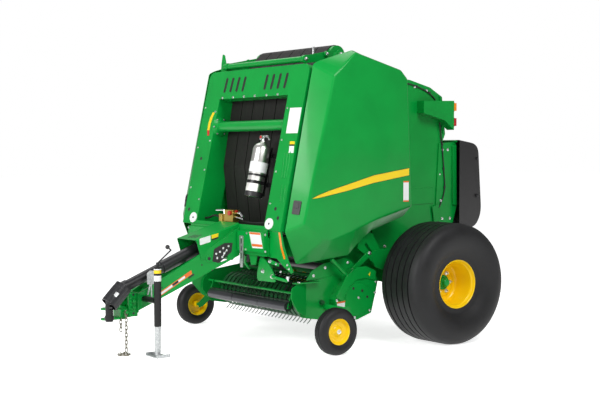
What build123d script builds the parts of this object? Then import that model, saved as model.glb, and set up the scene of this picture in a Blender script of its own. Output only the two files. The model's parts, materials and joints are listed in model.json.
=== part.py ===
"""Round baler: towed farm machine, 1.2 m wide chamber, on two flotation tyres.

Frame: millimetres, +Z up, the hitch points to -Y, the machine's left is +X.
The origin is on the ground, on the centre line, midway along the machine.
"""
from build123d import *
from math import atan2, cos, degrees, hypot, radians, sin, tan
import os

# Whole machine; Y is measured from a working zero near the chamber's middle
front_foot = -1019.0          # where the leaning front plane would meet the ground
lean = 12.6                   # degrees that the front leans back
seat = 0.3                    # gap at a seat between two pieces that touch
side_gap = 8.0                # gap between the chamber's sides and the tailgate's

# Front portal
portal_half = 768.0
portal_bottom = 985.0
portal_top = 2340.0
portal_depth = 225.0
header_depth = 92.0
portal_sheet = 6.0
portal_corner = 70.0
opening_half = 530.0
opening_bottom = 1015.0
opening_top = 2090.0
slot_width = 17.0
slot_length = 118.0
slot_tilt = 6.0
slot_middle = 2212.0
slot_places = (170.0, 268.0, 366.0, 464.0)

# Chamber
side_inner = 590.0
side_sheet = 6.0
belt_count = 6
belt_width = 166.0
belt_pitch = 176.0
belt_thick = 6.0
roller_shaft = 22.0

# Main wheels
wheel_x = 1099.0
wheel_y = 654.0
tyre_radius = 512.0
tyre_half = 245.0
rim_radius = 205.0
rim_half = 188.0
rim_sheet = 9.0
disc_offset = -85.0           # of the wheel's disc, inboard of the tyre's middle
hub_radius = 62.0
spindle_radius = 32.0

# Gauge wheels
gauge_x = 1087.0
gauge_y = -478.0
gauge_radius = 190.0
gauge_half = 58.0
gauge_rim = 106.0
gauge_axle = 13.0

# Pickup
pickup_pivot = (60.0, 505.0)
pivot_radius = 30.0
pivot_lug = 52.0
reel_y = -345.0
reel_z = 375.0
reel_tip = 195.0              # radius of the tines' tips
reel_bar_radius = 105.0
reel_half = 655.0
reel_shaft = 20.0
tine_bars = 4
tine_columns = 20
tine_size = 6.0
tine_knee = 58.0              # straight part of a tine
tine_hook = 22.0              # how far its tip trails
band_radius = 150.0
band_sheet = 3.0
flare_x = 706.0
flare_sheet = 6.0
guard_y = -602.0
guard_z = 345.0
guard_radius = 40.0
guard_half = 600.0
guard_shaft = 9.0

# Tailgate
gate_hinge = (150.0, 2235.0)
gate_inner = side_inner + side_sheet + side_gap
gate_sheet = 6.0
box_corner = 10.0             # rounding of small plates
hinge_pin = 20.0
cover_sheet = 5.0
cover_half = 680.0
cover_rear = 1530.0
cover_hinge = (1240.0, 1716.0)
cover_pin = 10.0

# Lift cylinders
barrel_pin = (-100.0, 1250.0)
gate_pin = (560.0, 1700.0)
cylinder_x = 660.0
barrel_radius = 32.0
barrel_length = 735.0
piston_rod = 18.0
eye_radius = 34.0
eye_half = 16.0
cylinder_pin = 15.0

# Side shields
shield_in = 800.0
shield_out = 950.0
shield_sheet = 5.0
shield_hinge = (700.0, 2425.0)
knuckle = 12.0
hinge_bolt = 7.0
shield_hinges_y = (-186.0, 74.0)

# Jack and tongue
tongue_rear_x = 185.0
tongue_front_x = 78.0
tongue_front_y = -1705.0
tongue_sheet = 8.0
tongue_length = 905.0         # of a side plate along its own face
lower_front_back = -800.0
lower_front_sheet = 12.0
tongue_rear_y = lower_front_back - lower_front_sheet - seat
tongue_turn = atan2(tongue_rear_x - tongue_front_x, tongue_rear_y - tongue_front_y)
tongue_end = tongue_rear_y - tongue_length * cos(tongue_turn)
jack_x = 312.0
jack_y = tongue_end + 49
jack_tube = 29.0
jack_leg_radius = 24.0
jack_wall = 4.0
jack_top = 716.0
jack_bottom = 240.0
jack_collar = 12.0
crank_rod = 6.0
crank_knee = (123.0, 124.0)   # behind and above the jack's top
crank_grip = (92.0, 150.0)
grip_radius = 18.0
stub_radius = 24.0
stub_z = 440.0
foot_length = 170.0
foot_width = 120.0
foot_sheet = 8.0
foot_lip = 26.0

# Hitch and driveline
hitch_length = 289.13         # from the tongue's end to the tips of the clevis lugs
hitch_front = tongue_end - hitch_length
hitch_block = 84.0            # from the tongue's end to the front of the hitch's side plates
hitch_half = 92.0             # of the plate bolted to the tongue's end
hitch_low = 300.0
hitch_high = 486.0
hitch_sheet = 12.0
hitch_plate_x = 68.0
adjust_first = 325.0          # lowest of the holes that set the height
adjust_pitch = 50.0
adjust_count = 4
adjust_radius = 10.0
lug_upper = 370.0
lug_lower = 288.0
lug_sheet = 14.0
lug_half = 45.0
hitch_pin = 16.0
hitch_pin_y = hitch_front + lug_half
yoke_top = (126.0, hitch_front + 8, 425.0)
yoke_length = 140.0
yoke_radius = 31.0
yoke_bore = 17.5
guard_tube = 44.0
hood_tilt = 17.0

bell_mouth = (126.0, hitch_front + 6, 418.0)
bell_radius = 70.0
bell_length = 186.0
bell_dip = 46.0               # degrees that the bell points down, ahead
bell_front = bell_mouth[1] - bell_radius * sin(radians(bell_dip))
origin_shift = -(bell_front + cover_rear) / 2


def front_y(z):
    """Y of the leaning front plane at height z."""
    return front_foot + z * tan(radians(lean))


def save(name, *solids):
    """Write one node, moved so that the origin lies midway along the machine."""
    os.makedirs("parts", exist_ok=True)
    placed = [Pos(0, origin_shift, 0) * solid for solid in solids]
    export_step(placed[0] if len(placed) == 1 else Compound(children=placed), "parts/" + name + ".step")


def rod(start, end, radius):
    """A round bar from one point to another."""
    line = Vector(*end) - Vector(*start)
    foot = Plane(origin=start, z_dir=line)
    return foot * Cylinder(radius, line.length, align=(Align.CENTER, Align.CENTER, Align.MIN))


def pipe(start, end, radius, wall):
    """A round tube from one point to another."""
    return rod(start, end, radius) - rod(start, end, radius - wall)


def cross_bar(y, z, radius, half):
    """A round bar across the machine."""
    return rod((-half, y, z), (half, y, z), radius)


def outlined(points, round_off=0.0):
    """A flat face inside a closed outline, facing up whichever way the points run."""
    face = make_face(Polyline(*points, close=True))
    if round_off:
        face = fillet(face.vertices(), round_off)
    face = face.face()
    return face if face.normal_at().Z > 0 else -face


def side_plate(points, x, thick, round_off=0.0):
    """A flat plate in a vertical plane along the machine; points are (y, z)."""
    return extrude(Plane.YZ.offset(x) * outlined(points, round_off), thick)


def cross_plate(points, y, thick, round_off=0.0):
    """A flat plate across the machine, its front face at y; points are (x, z)."""
    plane = Plane(origin=(0, y, 0), x_dir=(1, 0, 0), z_dir=(0, -1, 0))
    return extrude(plane * outlined(points, round_off), -thick)


def block(x0, x1, y0, y1, z0, z1):
    """A box between two corners."""
    size = Box(x1 - x0, y1 - y0, z1 - z0)
    return Pos((x0 + x1) / 2, (y0 + y1) / 2, (z0 + z1) / 2) * size


def turned(points, x, y, z):
    """A solid turned about a line across the machine; points are (x, radius)."""
    return Pos(x, y, z) * revolve(outlined(points), Axis.X)


def mirrored(shape):
    """The same piece on the machine's right side."""
    return mirror(shape, Plane.YZ)


front = Plane(origin=(0, front_foot, 0), x_dir=(1, 0, 0), z_dir=(0, -1, tan(radians(lean))))
rise = 1 / cos(radians(lean))


def portal_box(x0, x1, z0, z1, deep0, deep1):
    """A block square to the leaning front, from one depth behind it to another."""
    size = Box(x1 - x0, (z1 - z0) * rise, deep1 - deep0)
    return front * Pos((x0 + x1) / 2, (z0 + z1) / 2 * rise, -(deep0 + deep1) / 2) * size


# Front portal: a folded box frame with a slotted header round the chamber's mouth
strip_post = (
    # x, z of the post that hangs from the left column and carries an amber strip
    (705, 1000),
    (764, 1000),
    (806, 860),
    (862, 757),
    (932, 668),
    (905, 655),
    (826, 742),
    (768, 846),
)
strip_post_y = -792.0


def front_portal():
    high = (portal_top - portal_bottom) * rise
    middle = (portal_top + portal_bottom) / 2 * rise
    outline = Rectangle(2 * portal_half, high)
    outline = fillet(outline.vertices().sort_by(Axis.Y)[-2:], portal_corner)
    frame = front * Pos(0, middle, 0) * extrude(outline, -portal_depth)
    wall = portal_sheet
    frame -= portal_box(-opening_half, opening_half, opening_bottom, opening_top, -1, portal_depth + 1)
    for side in (-1, 1):
        x0, x1 = sorted((side * (opening_half + wall), side * (portal_half - wall)))
        frame -= portal_box(x0, x1, portal_bottom + wall, opening_top - wall, wall, portal_depth - wall)
    clear = portal_half - portal_corner
    frame -= portal_box(-clear, clear, opening_top + wall, portal_top - wall, wall, portal_depth - wall)
    top = portal_top + 1
    frame -= portal_box(-opening_half, opening_half, opening_top - 1, top, header_depth, portal_depth + 1)
    frame += cross_plate(strip_post, strip_post_y, portal_sheet)
    for place in slot_places:
        for side in (-1, 1):
            slot = SlotOverall(slot_length, slot_width, rotation=90 - slot_tilt)
            spot = front * Pos(side * place, slot_middle * rise, 1)
            frame -= spot * extrude(slot, -portal_sheet - 2)
    return frame


# Chamber side sheets, from the portal's rear to the tailgate's parting line
rollers = (
    # y, z, radius, half length of the shaft
    (-388, 1010, 70, side_inner),
    (-434, 1490, 75, opening_half - seat),
    (-330, 2185, 60, opening_half - seat),
    (70, 2110, 50, side_inner),
    (-330, 810, 95, side_inner),
    (-60, 700, 105, side_inner),
)
top_roller = (-62.0, 2440.0, 78.0)
gate_rollers_at = (
    # y, z, radius
    (340, 2120, 60),
    (850, 2080, 60),
    (960, 1400, 60),
    (790, 910, 74),
    (450, 830, 60),
)
side_points = (
    # y, z of a side sheet's corners behind the portal
    (-175, 2330),
    (60, 2330),
    (gate_hinge[0] + 60, gate_hinge[1] + 60),
    (gate_hinge[0] + 60, gate_hinge[1] - 60),
    (235, 1500),
    (300, 700),
    (180, 590),
    (10, 590),
    (-90, 660),
    (-330, 700),
)


slot_plate = (
    # y, z of the slotted plate that guides the pickup's lift arm
    (70, 943),
    (190, 930),
    (268, 798),
    (313, 675),
    (247, 636),
    (103, 755),
    (27, 809),
)
slot_plate_x = 720.0
slot_plate_post = (112.0, 862.0, 20.0)
guide_slot = (150.0, 800.0, 120.0, 26.0)


def chamber_side():
    behind = portal_depth / cos(radians(lean)) + seat
    front_edge = tuple((front_y(z) + behind, z) for z in (800, portal_top - 5))
    made = side_plate(front_edge + side_points, side_inner, side_sheet)
    y, z = gate_hinge
    made += rod((side_inner, y, z), (gate_inner + gate_sheet + 14, y, z), hinge_pin)
    y, z = pickup_pivot
    made += rod((side_inner, y, z), (side_inner + side_sheet, y, z), pivot_lug)
    made += block(side_inner, side_inner + side_sheet, y - pivot_lug, y + pivot_lug, z, z + 2 * pivot_lug)
    made -= rod((side_inner - 1, y, z), (side_inner + side_sheet + 1, y, z), pivot_radius + seat)
    y, z = barrel_pin
    made += rod((side_inner, y, z), (cylinder_x - eye_half - 2, y, z), 30)
    made += rod((side_inner, y, z), (cylinder_x + eye_half + 6, y, z), cylinder_pin)
    for y in shield_hinges_y:
        made += shield_bracket(y)
    y, z, radius = slot_plate_post
    made += rod((side_inner, y, z), (slot_plate_x + 1, y, z), radius)
    plate = side_plate(slot_plate, slot_plate_x, side_sheet, box_corner)
    y, z, long, wide = guide_slot
    cut = Plane.YZ.offset(slot_plate_x - 1) * Pos(y, z) * SlotOverall(long, wide, rotation=-50)
    return made + (plate - extrude(cut, side_sheet + 2))


def shield_bracket(y):
    """Arm from the side sheet out to the shield's hinge line, just ahead of y."""
    x, z = shield_hinge
    outline = ((side_inner + side_sheet, 2200), (x + 8, z - 26), (x + 8, z), (x - 16, z),
               (side_inner, 2330), (side_inner, 2200))
    arm = cross_plate(outline, y - 14, 8) + rod((x, y - 14, z), (x, y - 6, z), knuckle + 6)
    return arm + rod((x, y - 6, z), (x, y + 30, z), hinge_bolt)


def chamber_rollers():
    made = []
    for y, z, radius, half in rollers:
        made.append(cross_bar(y, z, radius, half - 5) + cross_bar(y, z, roller_shaft, half))
    return made


# Flat belts: the hull of the rollers they run round, less the side that faces the bale
def belts(circles, inside):
    outer = make_hull([Pos(y, z) * Edge.make_circle(radius + seat + belt_thick) for y, z, radius in circles])
    inner = make_hull([Pos(y, z) * Edge.make_circle(radius + seat) for y, z, radius in circles])
    strip = outer - inner - outlined(inside)
    made = []
    for number in range(belt_count):
        x = (number - (belt_count - 1) / 2) * belt_pitch - belt_width / 2
        made.append(extrude(Plane.YZ.offset(x) * strip, belt_width))
    return made


def chamber_belts():
    run = [roller[:3] for roller in rollers[:4]] + [top_roller]
    (y0, z0, r0), (y1, z1, r1) = run[0], run[3]
    inside = ((y0, z0 - 200), (y0, z0), (y1, z1), (y1 + 300, z1), (y1 + 300, z0 - 200))
    return belts(run, inside)


def gate_belts():
    (y0, z0, r0), (y1, z1, r1) = gate_rollers_at[0], gate_rollers_at[-1]
    inside = ((y0 - 300, z0), (y0, z0), (y1, z1), (y1 - 300, z1))
    return belts(gate_rollers_at, inside)


# Cross tube in the mouth and the roof tube with its lugs
tube_z = 1844.0
tube_radius = 46.0
roof_tube = (-422.0, 2386.0, 26.0)


def mouth_tube():
    return cross_bar(front_y(tube_z) + 60, tube_z, tube_radius, opening_half - seat)


# Belt tension arm and its roller, over the roof
def tension_arm():
    y, z, radius = roof_tube
    made = cross_bar(y, z, radius, 580)
    roller_y, roller_z, roller_radius = top_roller
    for side in (-1, 1):
        arm = side_plate(((y - 30, z - 20), (y + 20, z - 32), (roller_y + 40, roller_z - 40),
                          (roller_y + 46, roller_z + 20), (roller_y - 10, roller_z + 44), (y - 26, z + 24)),
                         0, 12, 10)
        made += Pos(side * 574 - 6, 0, 0) * arm
        made += rod((side * 568, roller_y, roller_z), (side * 586, roller_y, roller_z), 34)
    made += cross_bar(roller_y, roller_z, roller_radius, 560) + cross_bar(roller_y, roller_z, 20, 570)
    return made


# Axle beam, spindles and the two rails up to the portal
rail_points = (
    # y, z
    (lower_front_back + seat, 770),
    (lower_front_back + seat, 925),
    (-330, 925),
    (280, 700),
    (730, 590),
    (730, 470),
    (580, 430),
    (60, 600),
    (-200, 745),
)
beam_half = 56.0
rail_in = side_inner + side_sheet + seat
rail_sheet = 10.0


def axle_frame():
    made = block(-905, 905, wheel_y - beam_half, wheel_y + beam_half,
                 tyre_radius - beam_half, tyre_radius + beam_half)
    for side in (-1, 1):
        made += side_plate(rail_points, rail_in if side > 0 else -rail_in - rail_sheet, rail_sheet)
        start = (side * 900, wheel_y, tyre_radius)
        end = (side * (wheel_x - 62), wheel_y, tyre_radius)
        made += rod(start, end, spindle_radius)
    made += block(-rail_in - 1, rail_in + 1, -700, -640, 790, 920)
    return made


# Wheels
def tyre(radius, half, rim, bead, shoulder, crown):
    """Section with a flat crown, sloping shoulders and a bulged wall."""
    wall = rim + (radius - rim) * 0.45
    edge = half * 0.92
    return ((-bead, rim), (-half, wall), (-edge, shoulder), (-crown, radius),
            (crown, radius), (edge, shoulder), (half, wall), (bead, rim))


def main_tyre():
    points = tyre(tyre_radius, tyre_half, rim_radius, rim_half, tyre_radius - 40, 172)
    return turned(points, wheel_x, wheel_y, tyre_radius)


def main_rim():
    """Deep dished rim: two flanges, a barrel and a disc inboard of the middle."""
    r, t, h, d = rim_radius - seat, rim_sheet, rim_half, disc_offset
    bore = hub_radius + seat
    points = ((-h, r), (h, r), (h, r - t), (h - 40, r - 26), (d + t, r - 34), (d + t, 130), (d + t + 14, 112),
              (d + t + 14, bore), (d, bore), (d, r - 34), (-h, r - t))
    return turned(points, wheel_x, wheel_y, tyre_radius)


def main_hub():
    d, bore = disc_offset, spindle_radius + seat
    points = ((-150, bore), (-150, 80), (d - seat, 80), (d - seat, hub_radius), (-50, hub_radius), (-32, 40),
              (-26, 0), (-60, 0), (-60, bore))
    return turned(points, wheel_x, wheel_y, tyre_radius)


def gauge_tyre():
    points = tyre(gauge_radius, gauge_half, gauge_rim, gauge_half - 12, gauge_radius - 13, 38)
    return turned(points, gauge_x, gauge_y, gauge_radius)


def gauge_rim_disc():
    r, h, bore = gauge_rim - seat, gauge_half - 12, gauge_axle + seat
    points = ((-h, r), (h, r), (h, r - 8), (h - 24, r - 20), (h - 30, 40), (h - 14, 30), (h - 10, 0),
              (h - 20, 0), (h - 20, bore), (-h, bore), (-h, 26), (h - 44, 34), (h - 44, r - 24), (-h, r - 8))
    return turned(points, gauge_x, gauge_y, gauge_radius)


# Pickup
flare_outline = ((-620, 470), (-540, 545), (-200, 590), (40, 600), (140, 560), (150, 480), (90, 400),
                 (-60, 250), (-370, 232), (-545, 262), (-635, 380))
wing_outline = ((0, 262), (0, 545), (110, 545), (205, 520), (212, 430), (120, 320))
wing_turn = 20.0
flare_corner = 28.0
wing_corner = 20.0
upper_bar = (-195.0, 560.0)
lower_bar = (-160.0, 262.0)
bar_radius = 16.0
guard_rail = (-556.0, 454.0)


def pickup_side():
    plate = side_plate(flare_outline, flare_x, flare_sheet, flare_corner)
    turn = radians(wing_turn)
    start = Plane(origin=(flare_x, -500, 0), x_dir=(sin(turn), -cos(turn), 0),
                  z_dir=(-cos(turn), -sin(turn), 0))
    plate += extrude(start * outlined(wing_outline, wing_corner), -flare_sheet)
    return plate


def pickup_frame():
    made = pickup_side() + mirrored(pickup_side())
    made += cross_bar(*pickup_pivot, pivot_radius, flare_x + 1)
    for y, z in (upper_bar, lower_bar):
        made += cross_bar(y, z, bar_radius, flare_x + 1)
    made -= cross_bar(reel_y, reel_z, reel_shaft + seat, flare_x + flare_sheet + 1)
    made += cross_bar(*guard_rail, 10, flare_x + 1)
    for side in (-1, 1):
        arm = ((guard_rail[0] - 16, guard_rail[1] + 14), (guard_rail[0] + 20, guard_rail[1] + 4),
               (guard_y + 22, guard_z - 16), (guard_y - 20, guard_z - 16))
        made += side_plate(arm, side * (guard_half + 12) - 4, 8)
    made -= cross_bar(guard_y, guard_z, guard_shaft + seat, guard_half + 40)
    return made


def windguard():
    made = cross_bar(guard_y, guard_z, guard_radius, guard_half)
    for x in (-guard_half / 3, guard_half / 3):
        ring = rod((x - 3, guard_y, guard_z), (x + 3, guard_y, guard_z), guard_radius + 1)
        made -= ring - rod((x - 3, guard_y, guard_z), (x + 3, guard_y, guard_z), guard_radius - 5)
    return made + cross_bar(guard_y, guard_z, guard_shaft, guard_half + 20)


tine_pitch = 2 * (reel_half - 30) / (tine_columns - 1)


def pickup_bands():
    """Bent strips between the columns of tines, open at the rear."""
    steps = 9
    first, last = 75.0, 285.0
    under = bar_radius + band_sheet / 2 + seat
    points = [(upper_bar[0], upper_bar[1] - under)]
    for number in range(steps):
        turn = radians(first + (last - first) * number / (steps - 1))
        points.append((reel_y + band_radius * cos(turn), reel_z + band_radius * sin(turn)))
    points.append((lower_bar[0], lower_bar[1] - under))
    strip = trace(Polyline(*points), band_sheet)
    width = tine_pitch - tine_size - 18
    made = []
    for number in range(tine_columns - 1):
        x = -reel_half + 30 + tine_pitch * (number + 0.5) - width / 2
        made.append(extrude(Plane.YZ.offset(x) * strip, width))
    return made


def reel():
    y, z = reel_y, reel_z
    made = cross_bar(y, z, reel_shaft, flare_x + 30)
    for x in (-reel_half + 4, 0, reel_half - 4):
        made += rod((x - 4, y, z), (x + 4, y, z), reel_bar_radius + 16)
    for bar in range(tine_bars):
        turn = radians(360 * bar / tine_bars + 20)
        by, bz = y + reel_bar_radius * cos(turn), z + reel_bar_radius * sin(turn)
        made += cross_bar(by, bz, 12, reel_half)
        tip = (reel_tip - tine_size - reel_bar_radius, -tine_hook)
        bent = trace(Polyline((0, 0), (tine_knee, 0), tip), tine_size)
        tine = extrude(Plane.YZ.offset(-tine_size / 2) * bent, tine_size)
        for column in range(tine_columns):
            x = -reel_half + 30 + tine_pitch * column
            made += Pos(x, by, bz) * Rot(360 * bar / tine_bars + 20, 0, 0) * tine
    return made


def gauge_arm():
    """Stub from the flare, drop arm and axle of the left gauge wheel."""
    y, z = -300.0, 335.0
    outer = gauge_x - gauge_half - 18
    made = rod((flare_x + flare_sheet + seat, y, z), (outer, y, z), 24)
    arm = ((y + 30, z + 24), (y - 10, z + 34), (gauge_y - 28, gauge_radius + 6), (gauge_y - 8, gauge_radius - 28),
           (gauge_y + 30, gauge_radius - 16), (y + 34, z - 20))
    made += side_plate(arm, outer - 12, 12)
    made += rod((outer, gauge_y, gauge_radius), (gauge_x + gauge_half - 34, gauge_y, gauge_radius), gauge_axle)
    return made


cover_outline = ((-262, 400), (-120, 560), (-60, 640), (60, 652), (160, 610), (190, 520), (165, 420),
                 (120, 262), (-30, 214), (-232, 236))


def drive_cover():
    return side_plate(cover_outline, flare_x + flare_sheet + seat, 84, 18)


# Tailgate
gate_outline = (
    # y, z
    (95, 2200),
    (90, 2270),
    (130, 2300),
    (707, 2252),
    (943, 2193),
    (1088, 2113),
    (1128, 1780),
    (1090, 1700),
    (1090, 1420),
    (1120, 1200),
    (1000, 880),
    (800, 770),
    (300, 722),
    (262, 1200),
    (222, 1600),
)
gate_corner = 14.0


def gate_side():
    plate = side_plate(gate_outline, gate_inner, gate_sheet, gate_corner)
    y, z = gate_hinge
    plate -= rod((gate_inner - 1, y, z), (gate_inner + gate_sheet + 1, y, z), hinge_pin + seat)
    y, z = gate_pin
    plate += rod((gate_inner + gate_sheet, y, z), (cylinder_x - eye_half - 4, y, z), 30)
    return plate


def gate_frame():
    half = gate_inner - seat
    made = [cross_bar(y, z, radius, half) for y, z, radius in
            ((1010, 2090, 26), (1070, 1180, 30), (905, 880, 28), (420, 2225, 22))]
    made.append(block(-half, half, 1046, 1052, 1760, 2050))
    return made


def gate_rollers():
    return [cross_bar(y, z, radius, gate_inner - 8) + cross_bar(y, z, roller_shaft, gate_inner - seat)
            for y, z, radius in gate_rollers_at]


lamp_box = ((790, 2068), (1150, 2077), (1150, 1817), (1040, 1900), (790, 1960))
lamps = (
    # z of the middle, height
    (2022, 70),
    (1887, 70),
)


def lamp_bracket():
    x = gate_inner + gate_sheet + seat
    made = side_plate(lamp_box, x, 92)
    return made - side_plate(((800, 2058), (1138, 2067), (1140, 1840), (1036, 1912), (800, 1968)), x - 1, 88)


def lamp(z, high):
    return block(650, 705, 1150 + seat, 1178, z - high / 2, z + high / 2)


box_outline = (
    # y, z
    (1010, 1130),
    (1045, 1700),
    (1253, 1709),
    (1268, 1136),
    (1215, 975),
    (1065, 968),
    (985, 1105),
)


def wrap_box():
    """Open tray between two cheeks, on the tailgate's rear."""
    inner = gate_inner + gate_sheet + seat
    made = block(-inner - 1, inner + 1, 1128, 1235, 985, 991)
    for side in (-1, 1):
        made += side_plate(box_outline, inner if side > 0 else -inner - 10, 10, box_corner)
    made += block(-inner - 1, inner + 1, 1096, 1102, 1500, 1690) + cross_bar(*cover_hinge, cover_pin, 640)
    return made


wrap_outer = ((1244, 1735), (1400, 1700), (1502, 1600), (cover_rear, 1060), (1450, 930), (1340, 915), (1244, 960))
wrap_inner = ((1243, cover_hinge[1] + cover_pin + seat), (1398, 1694), (1496, 1597), (cover_rear - cover_sheet, 1062), (1446, 936),
              (1340, 921), (1243, 966))


def wrap_cover():
    made = side_plate(wrap_outer, -cover_half, 2 * cover_half)
    inner = side_plate(wrap_inner, -cover_half + cover_sheet, 2 * (cover_half - cover_sheet))
    return made - inner


# Lift cylinders
slope = atan2(gate_pin[1] - barrel_pin[1], gate_pin[0] - barrel_pin[0])
reach = hypot(gate_pin[1] - barrel_pin[1], gate_pin[0] - barrel_pin[0])


def along(distance):
    """A point of the closed cylinder's axis."""
    y = barrel_pin[0] + distance * cos(slope)
    return (cylinder_x, y, barrel_pin[1] + distance * sin(slope))


def eye(centre, bore):
    x, y, z = centre
    ring = rod((x - eye_half, y, z), (x + eye_half, y, z), eye_radius)
    return ring - rod((x - eye_half - 1, y, z), (x + eye_half + 1, y, z), bore)


def barrel():
    made = rod(along(eye_radius + 2), along(barrel_length), barrel_radius)
    made -= rod(along(110), along(barrel_length + 1), piston_rod + seat)
    return made + rod(along(22), along(eye_radius + 4), cylinder_pin) + eye(along(0), cylinder_pin + seat)


def piston():
    made = rod(along(120), along(reach - eye_radius + 6), piston_rod)
    x, y, z = along(reach)
    made += rod((x - eye_half, y, z), (x + eye_half, y, z), eye_radius)
    return made + rod((x - eye_half - 2, y, z), (x + eye_half + 6, y, z), cylinder_pin)


# Side shields: a flat outer face between bevelled edges
shield_corners = (
    # y and z of the edge, y and z of the flat face
    (-495, 2330, -386, 2230),
    (-444, 2356, -325, 2284),
    (-94, 2462, -181, 2431),
    (340, 2320, 316, 2305),
    (420, 2248, 388, 2233),
    (480, 1072, 439, 1162),
    (110, 958, 34, 1057),
    (-26, 859, -157, 989),
    (-132, 764, -190, 978),
    (-423, 733, -414, 910),
    (-665, 714, -505, 914),
    (-773, 981, -694, 1041),
)
shield_edge = [corner[:2] for corner in shield_corners]
shield_face = [corner[2:] for corner in shield_corners]


def shield_solid(inset, x0, x1):
    """Loft from the edge outline to the flat face, both drawn in by inset."""
    low, high = outlined(shield_edge), outlined(shield_face)
    if inset:
        low = offset(low, -inset, kind=Kind.INTERSECTION)
        high = offset(high, -inset, kind=Kind.INTERSECTION)
    return loft([Plane.YZ.offset(x0) * low, Plane.YZ.offset(x1) * high], ruled=True)


def edge_top(y):
    """Height of the shield's upper edge at y."""
    tops = shield_edge[:5]
    for (y0, z0), (y1, z1) in zip(tops, tops[1:]):
        if y0 <= y <= y1:
            return z0 + (z1 - z0) * (y - y0) / (y1 - y0)
    return tops[0][1]


def shield():
    made = shield_solid(0, shield_in, shield_out)
    made -= shield_solid(shield_sheet, shield_in - 1, shield_out - shield_sheet)
    x, z = shield_hinge
    for y in shield_hinges_y:
        top = edge_top(y + 12)
        lug = ((x - 10, z - 12), (x - 10, z + 6), (x + 8, z + 10), (shield_in + 8, top - 4), (shield_in + 8, top - 34))
        made += cross_plate(lug, y, 24) + rod((x, y, z), (x, y + 24, z), knuckle)
        made -= rod((x, y - 1, z), (x, y + 25, z), hinge_bolt + seat)
    return made


# Tongue
tongue_outline = (
    # distance forward along the plate, z
    (0, 990),
    (20, 975),
    (323, 794),
    (tongue_length - 193, 581),
    (tongue_length, 480),
    (tongue_length, 345),
    (tongue_length - 183, 427),
    (438, 554),
    (112, 702),
    (0, 755),
)

tongue_bars = (
    # y, z, radius
    (tongue_end + 131, 480, 20),
    (-1180, 640, 24),
    (-880, 738, 22),
)


def tongue_x(y):
    """X of the left plate's inner face at y."""
    return tongue_rear_x - (tongue_rear_y - y) * tan(tongue_turn)


def tongue_side():
    """Plane of the left side plate's inner face; its X runs forward along the plate."""
    run = Vector(-sin(tongue_turn), -cos(tongue_turn), 0)
    return Plane(origin=(tongue_rear_x, tongue_rear_y, 0), x_dir=run, z_dir=run.cross(Vector(0, 0, 1)))


tongue_window = ((112, 722), (100, 835), (168, 806), (180, 700))
tongue_eye = (280.0, 738.0, 15.0)


def tongue():
    plate = outlined(tongue_outline) - outlined(tongue_window, box_corner)
    s, z, radius = tongue_eye
    boss = Pos(s, z) * Circle(2 * radius) - Pos(s, z) * Circle(radius)
    plate -= Pos(s, z) * Circle(radius)
    left = extrude(tongue_side() * plate, -tongue_sheet) + extrude(tongue_side() * boss, -tongue_sheet - 6)
    made = left + mirrored(left)
    for y, z, radius in tongue_bars:
        made += cross_bar(y, z, radius, tongue_x(y) + 1)
    return made


# Safety chain: rings threaded through each other, hanging from the hitch to the floor
link_wire = 7.0
link_inside = 30.0
link_open = 13.0
link_taper = 6.0
floor_gap = 18.0
chain_steps = (
    # number of links, angle below level in degrees, turn over the floor in degrees
    (10, 90, 0),
    (1, 55, 0),
    (1, 20, 0),
    (1, 0, 0),
    (1, 0, 40),
    (1, 0, 80),
    (1, 0, 125),
    (1, 0, 170),
    (1, 0, 215),
)
link_step = link_inside - 1.2
chain_bolt = 6.0
chain_drop = sum(count * link_step * sin(radians(fall)) for count, fall, turn in chain_steps)
chain_top = (100.0, hitch_front + 170, link_open / 2 + link_wire + floor_gap + chain_drop)


def hitch():
    back = tongue_end - tongue_sheet * sin(tongue_turn) - seat
    made = block(-hitch_half, hitch_half, back - 10, back, hitch_low + 30, hitch_high + 4)
    ahead = tongue_end - hitch_block
    for side in (-1, 1):
        x0 = side * hitch_plate_x - hitch_sheet / 2
        plate = block(x0, x0 + hitch_sheet, ahead, back - 1, hitch_low, hitch_high)
        for number in range(adjust_count):
            y, z = ahead + 45, adjust_first + adjust_pitch * number
            plate -= rod((x0 - 1, y, z), (x0 + hitch_sheet + 1, y, z), adjust_radius)
        made += plate
    made += block(-62, 62, ahead - 65, ahead + 25, 295, 363)
    for z in (lug_upper, lug_lower):
        lug = block(-lug_half, lug_half, hitch_pin_y, ahead, z - lug_sheet / 2, z + lug_sheet / 2)
        lug += Pos(0, hitch_pin_y, z) * Cylinder(lug_half, lug_sheet)
        made += lug
    nip = (chain_bolt + seat) / sin(atan2(link_open / 2, link_taper))
    bolt_z = chain_top[2] - link_step / 2 + link_inside / 2 - nip
    x, y = chain_top[:2]
    made += rod((60, y, bolt_z), (x + 14, y, bolt_z), chain_bolt) + rod((x + 12, y, bolt_z), (x + 20, y, bolt_z), 12)
    made -= Pos(0, hitch_pin_y, 330) * Cylinder(hitch_pin, 200)
    return made


# Gearbox under its hood, and the driveline in its guards
gearbox_face = (0.0, -1060.0, 832.0)
guard_front = (82.0, hitch_front + 178, 548.0)


def towards(start, end, share):
    return tuple(a + (b - a) * share for a, b in zip(start, end))


def gearbox():
    y, z, radius = tongue_bars[-1]
    made = block(-110, 110, -1030, -830, z + radius + seat, 900)
    return made + rod(towards(gearbox_face, guard_front, -0.07), gearbox_face, guard_tube + 6)


def drive_guards():
    split = towards(gearbox_face, guard_front, 0.55)
    near = towards(gearbox_face, guard_front, seat / (Vector(*guard_front) - Vector(*gearbox_face)).length)
    outer = pipe(near, split, guard_tube + 8, 8 - seat)
    return [outer, pipe(towards(gearbox_face, guard_front, 0.5), guard_front, guard_tube, 4)]


# Inner shaft of the front joint, from the guard's end to the housing that the yoke hangs from
joint_shaft = 18.0
shaft_start = towards(gearbox_face, guard_front, 0.96)
shaft_bend = (126.0, hitch_front + 96, 513.0)


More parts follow.
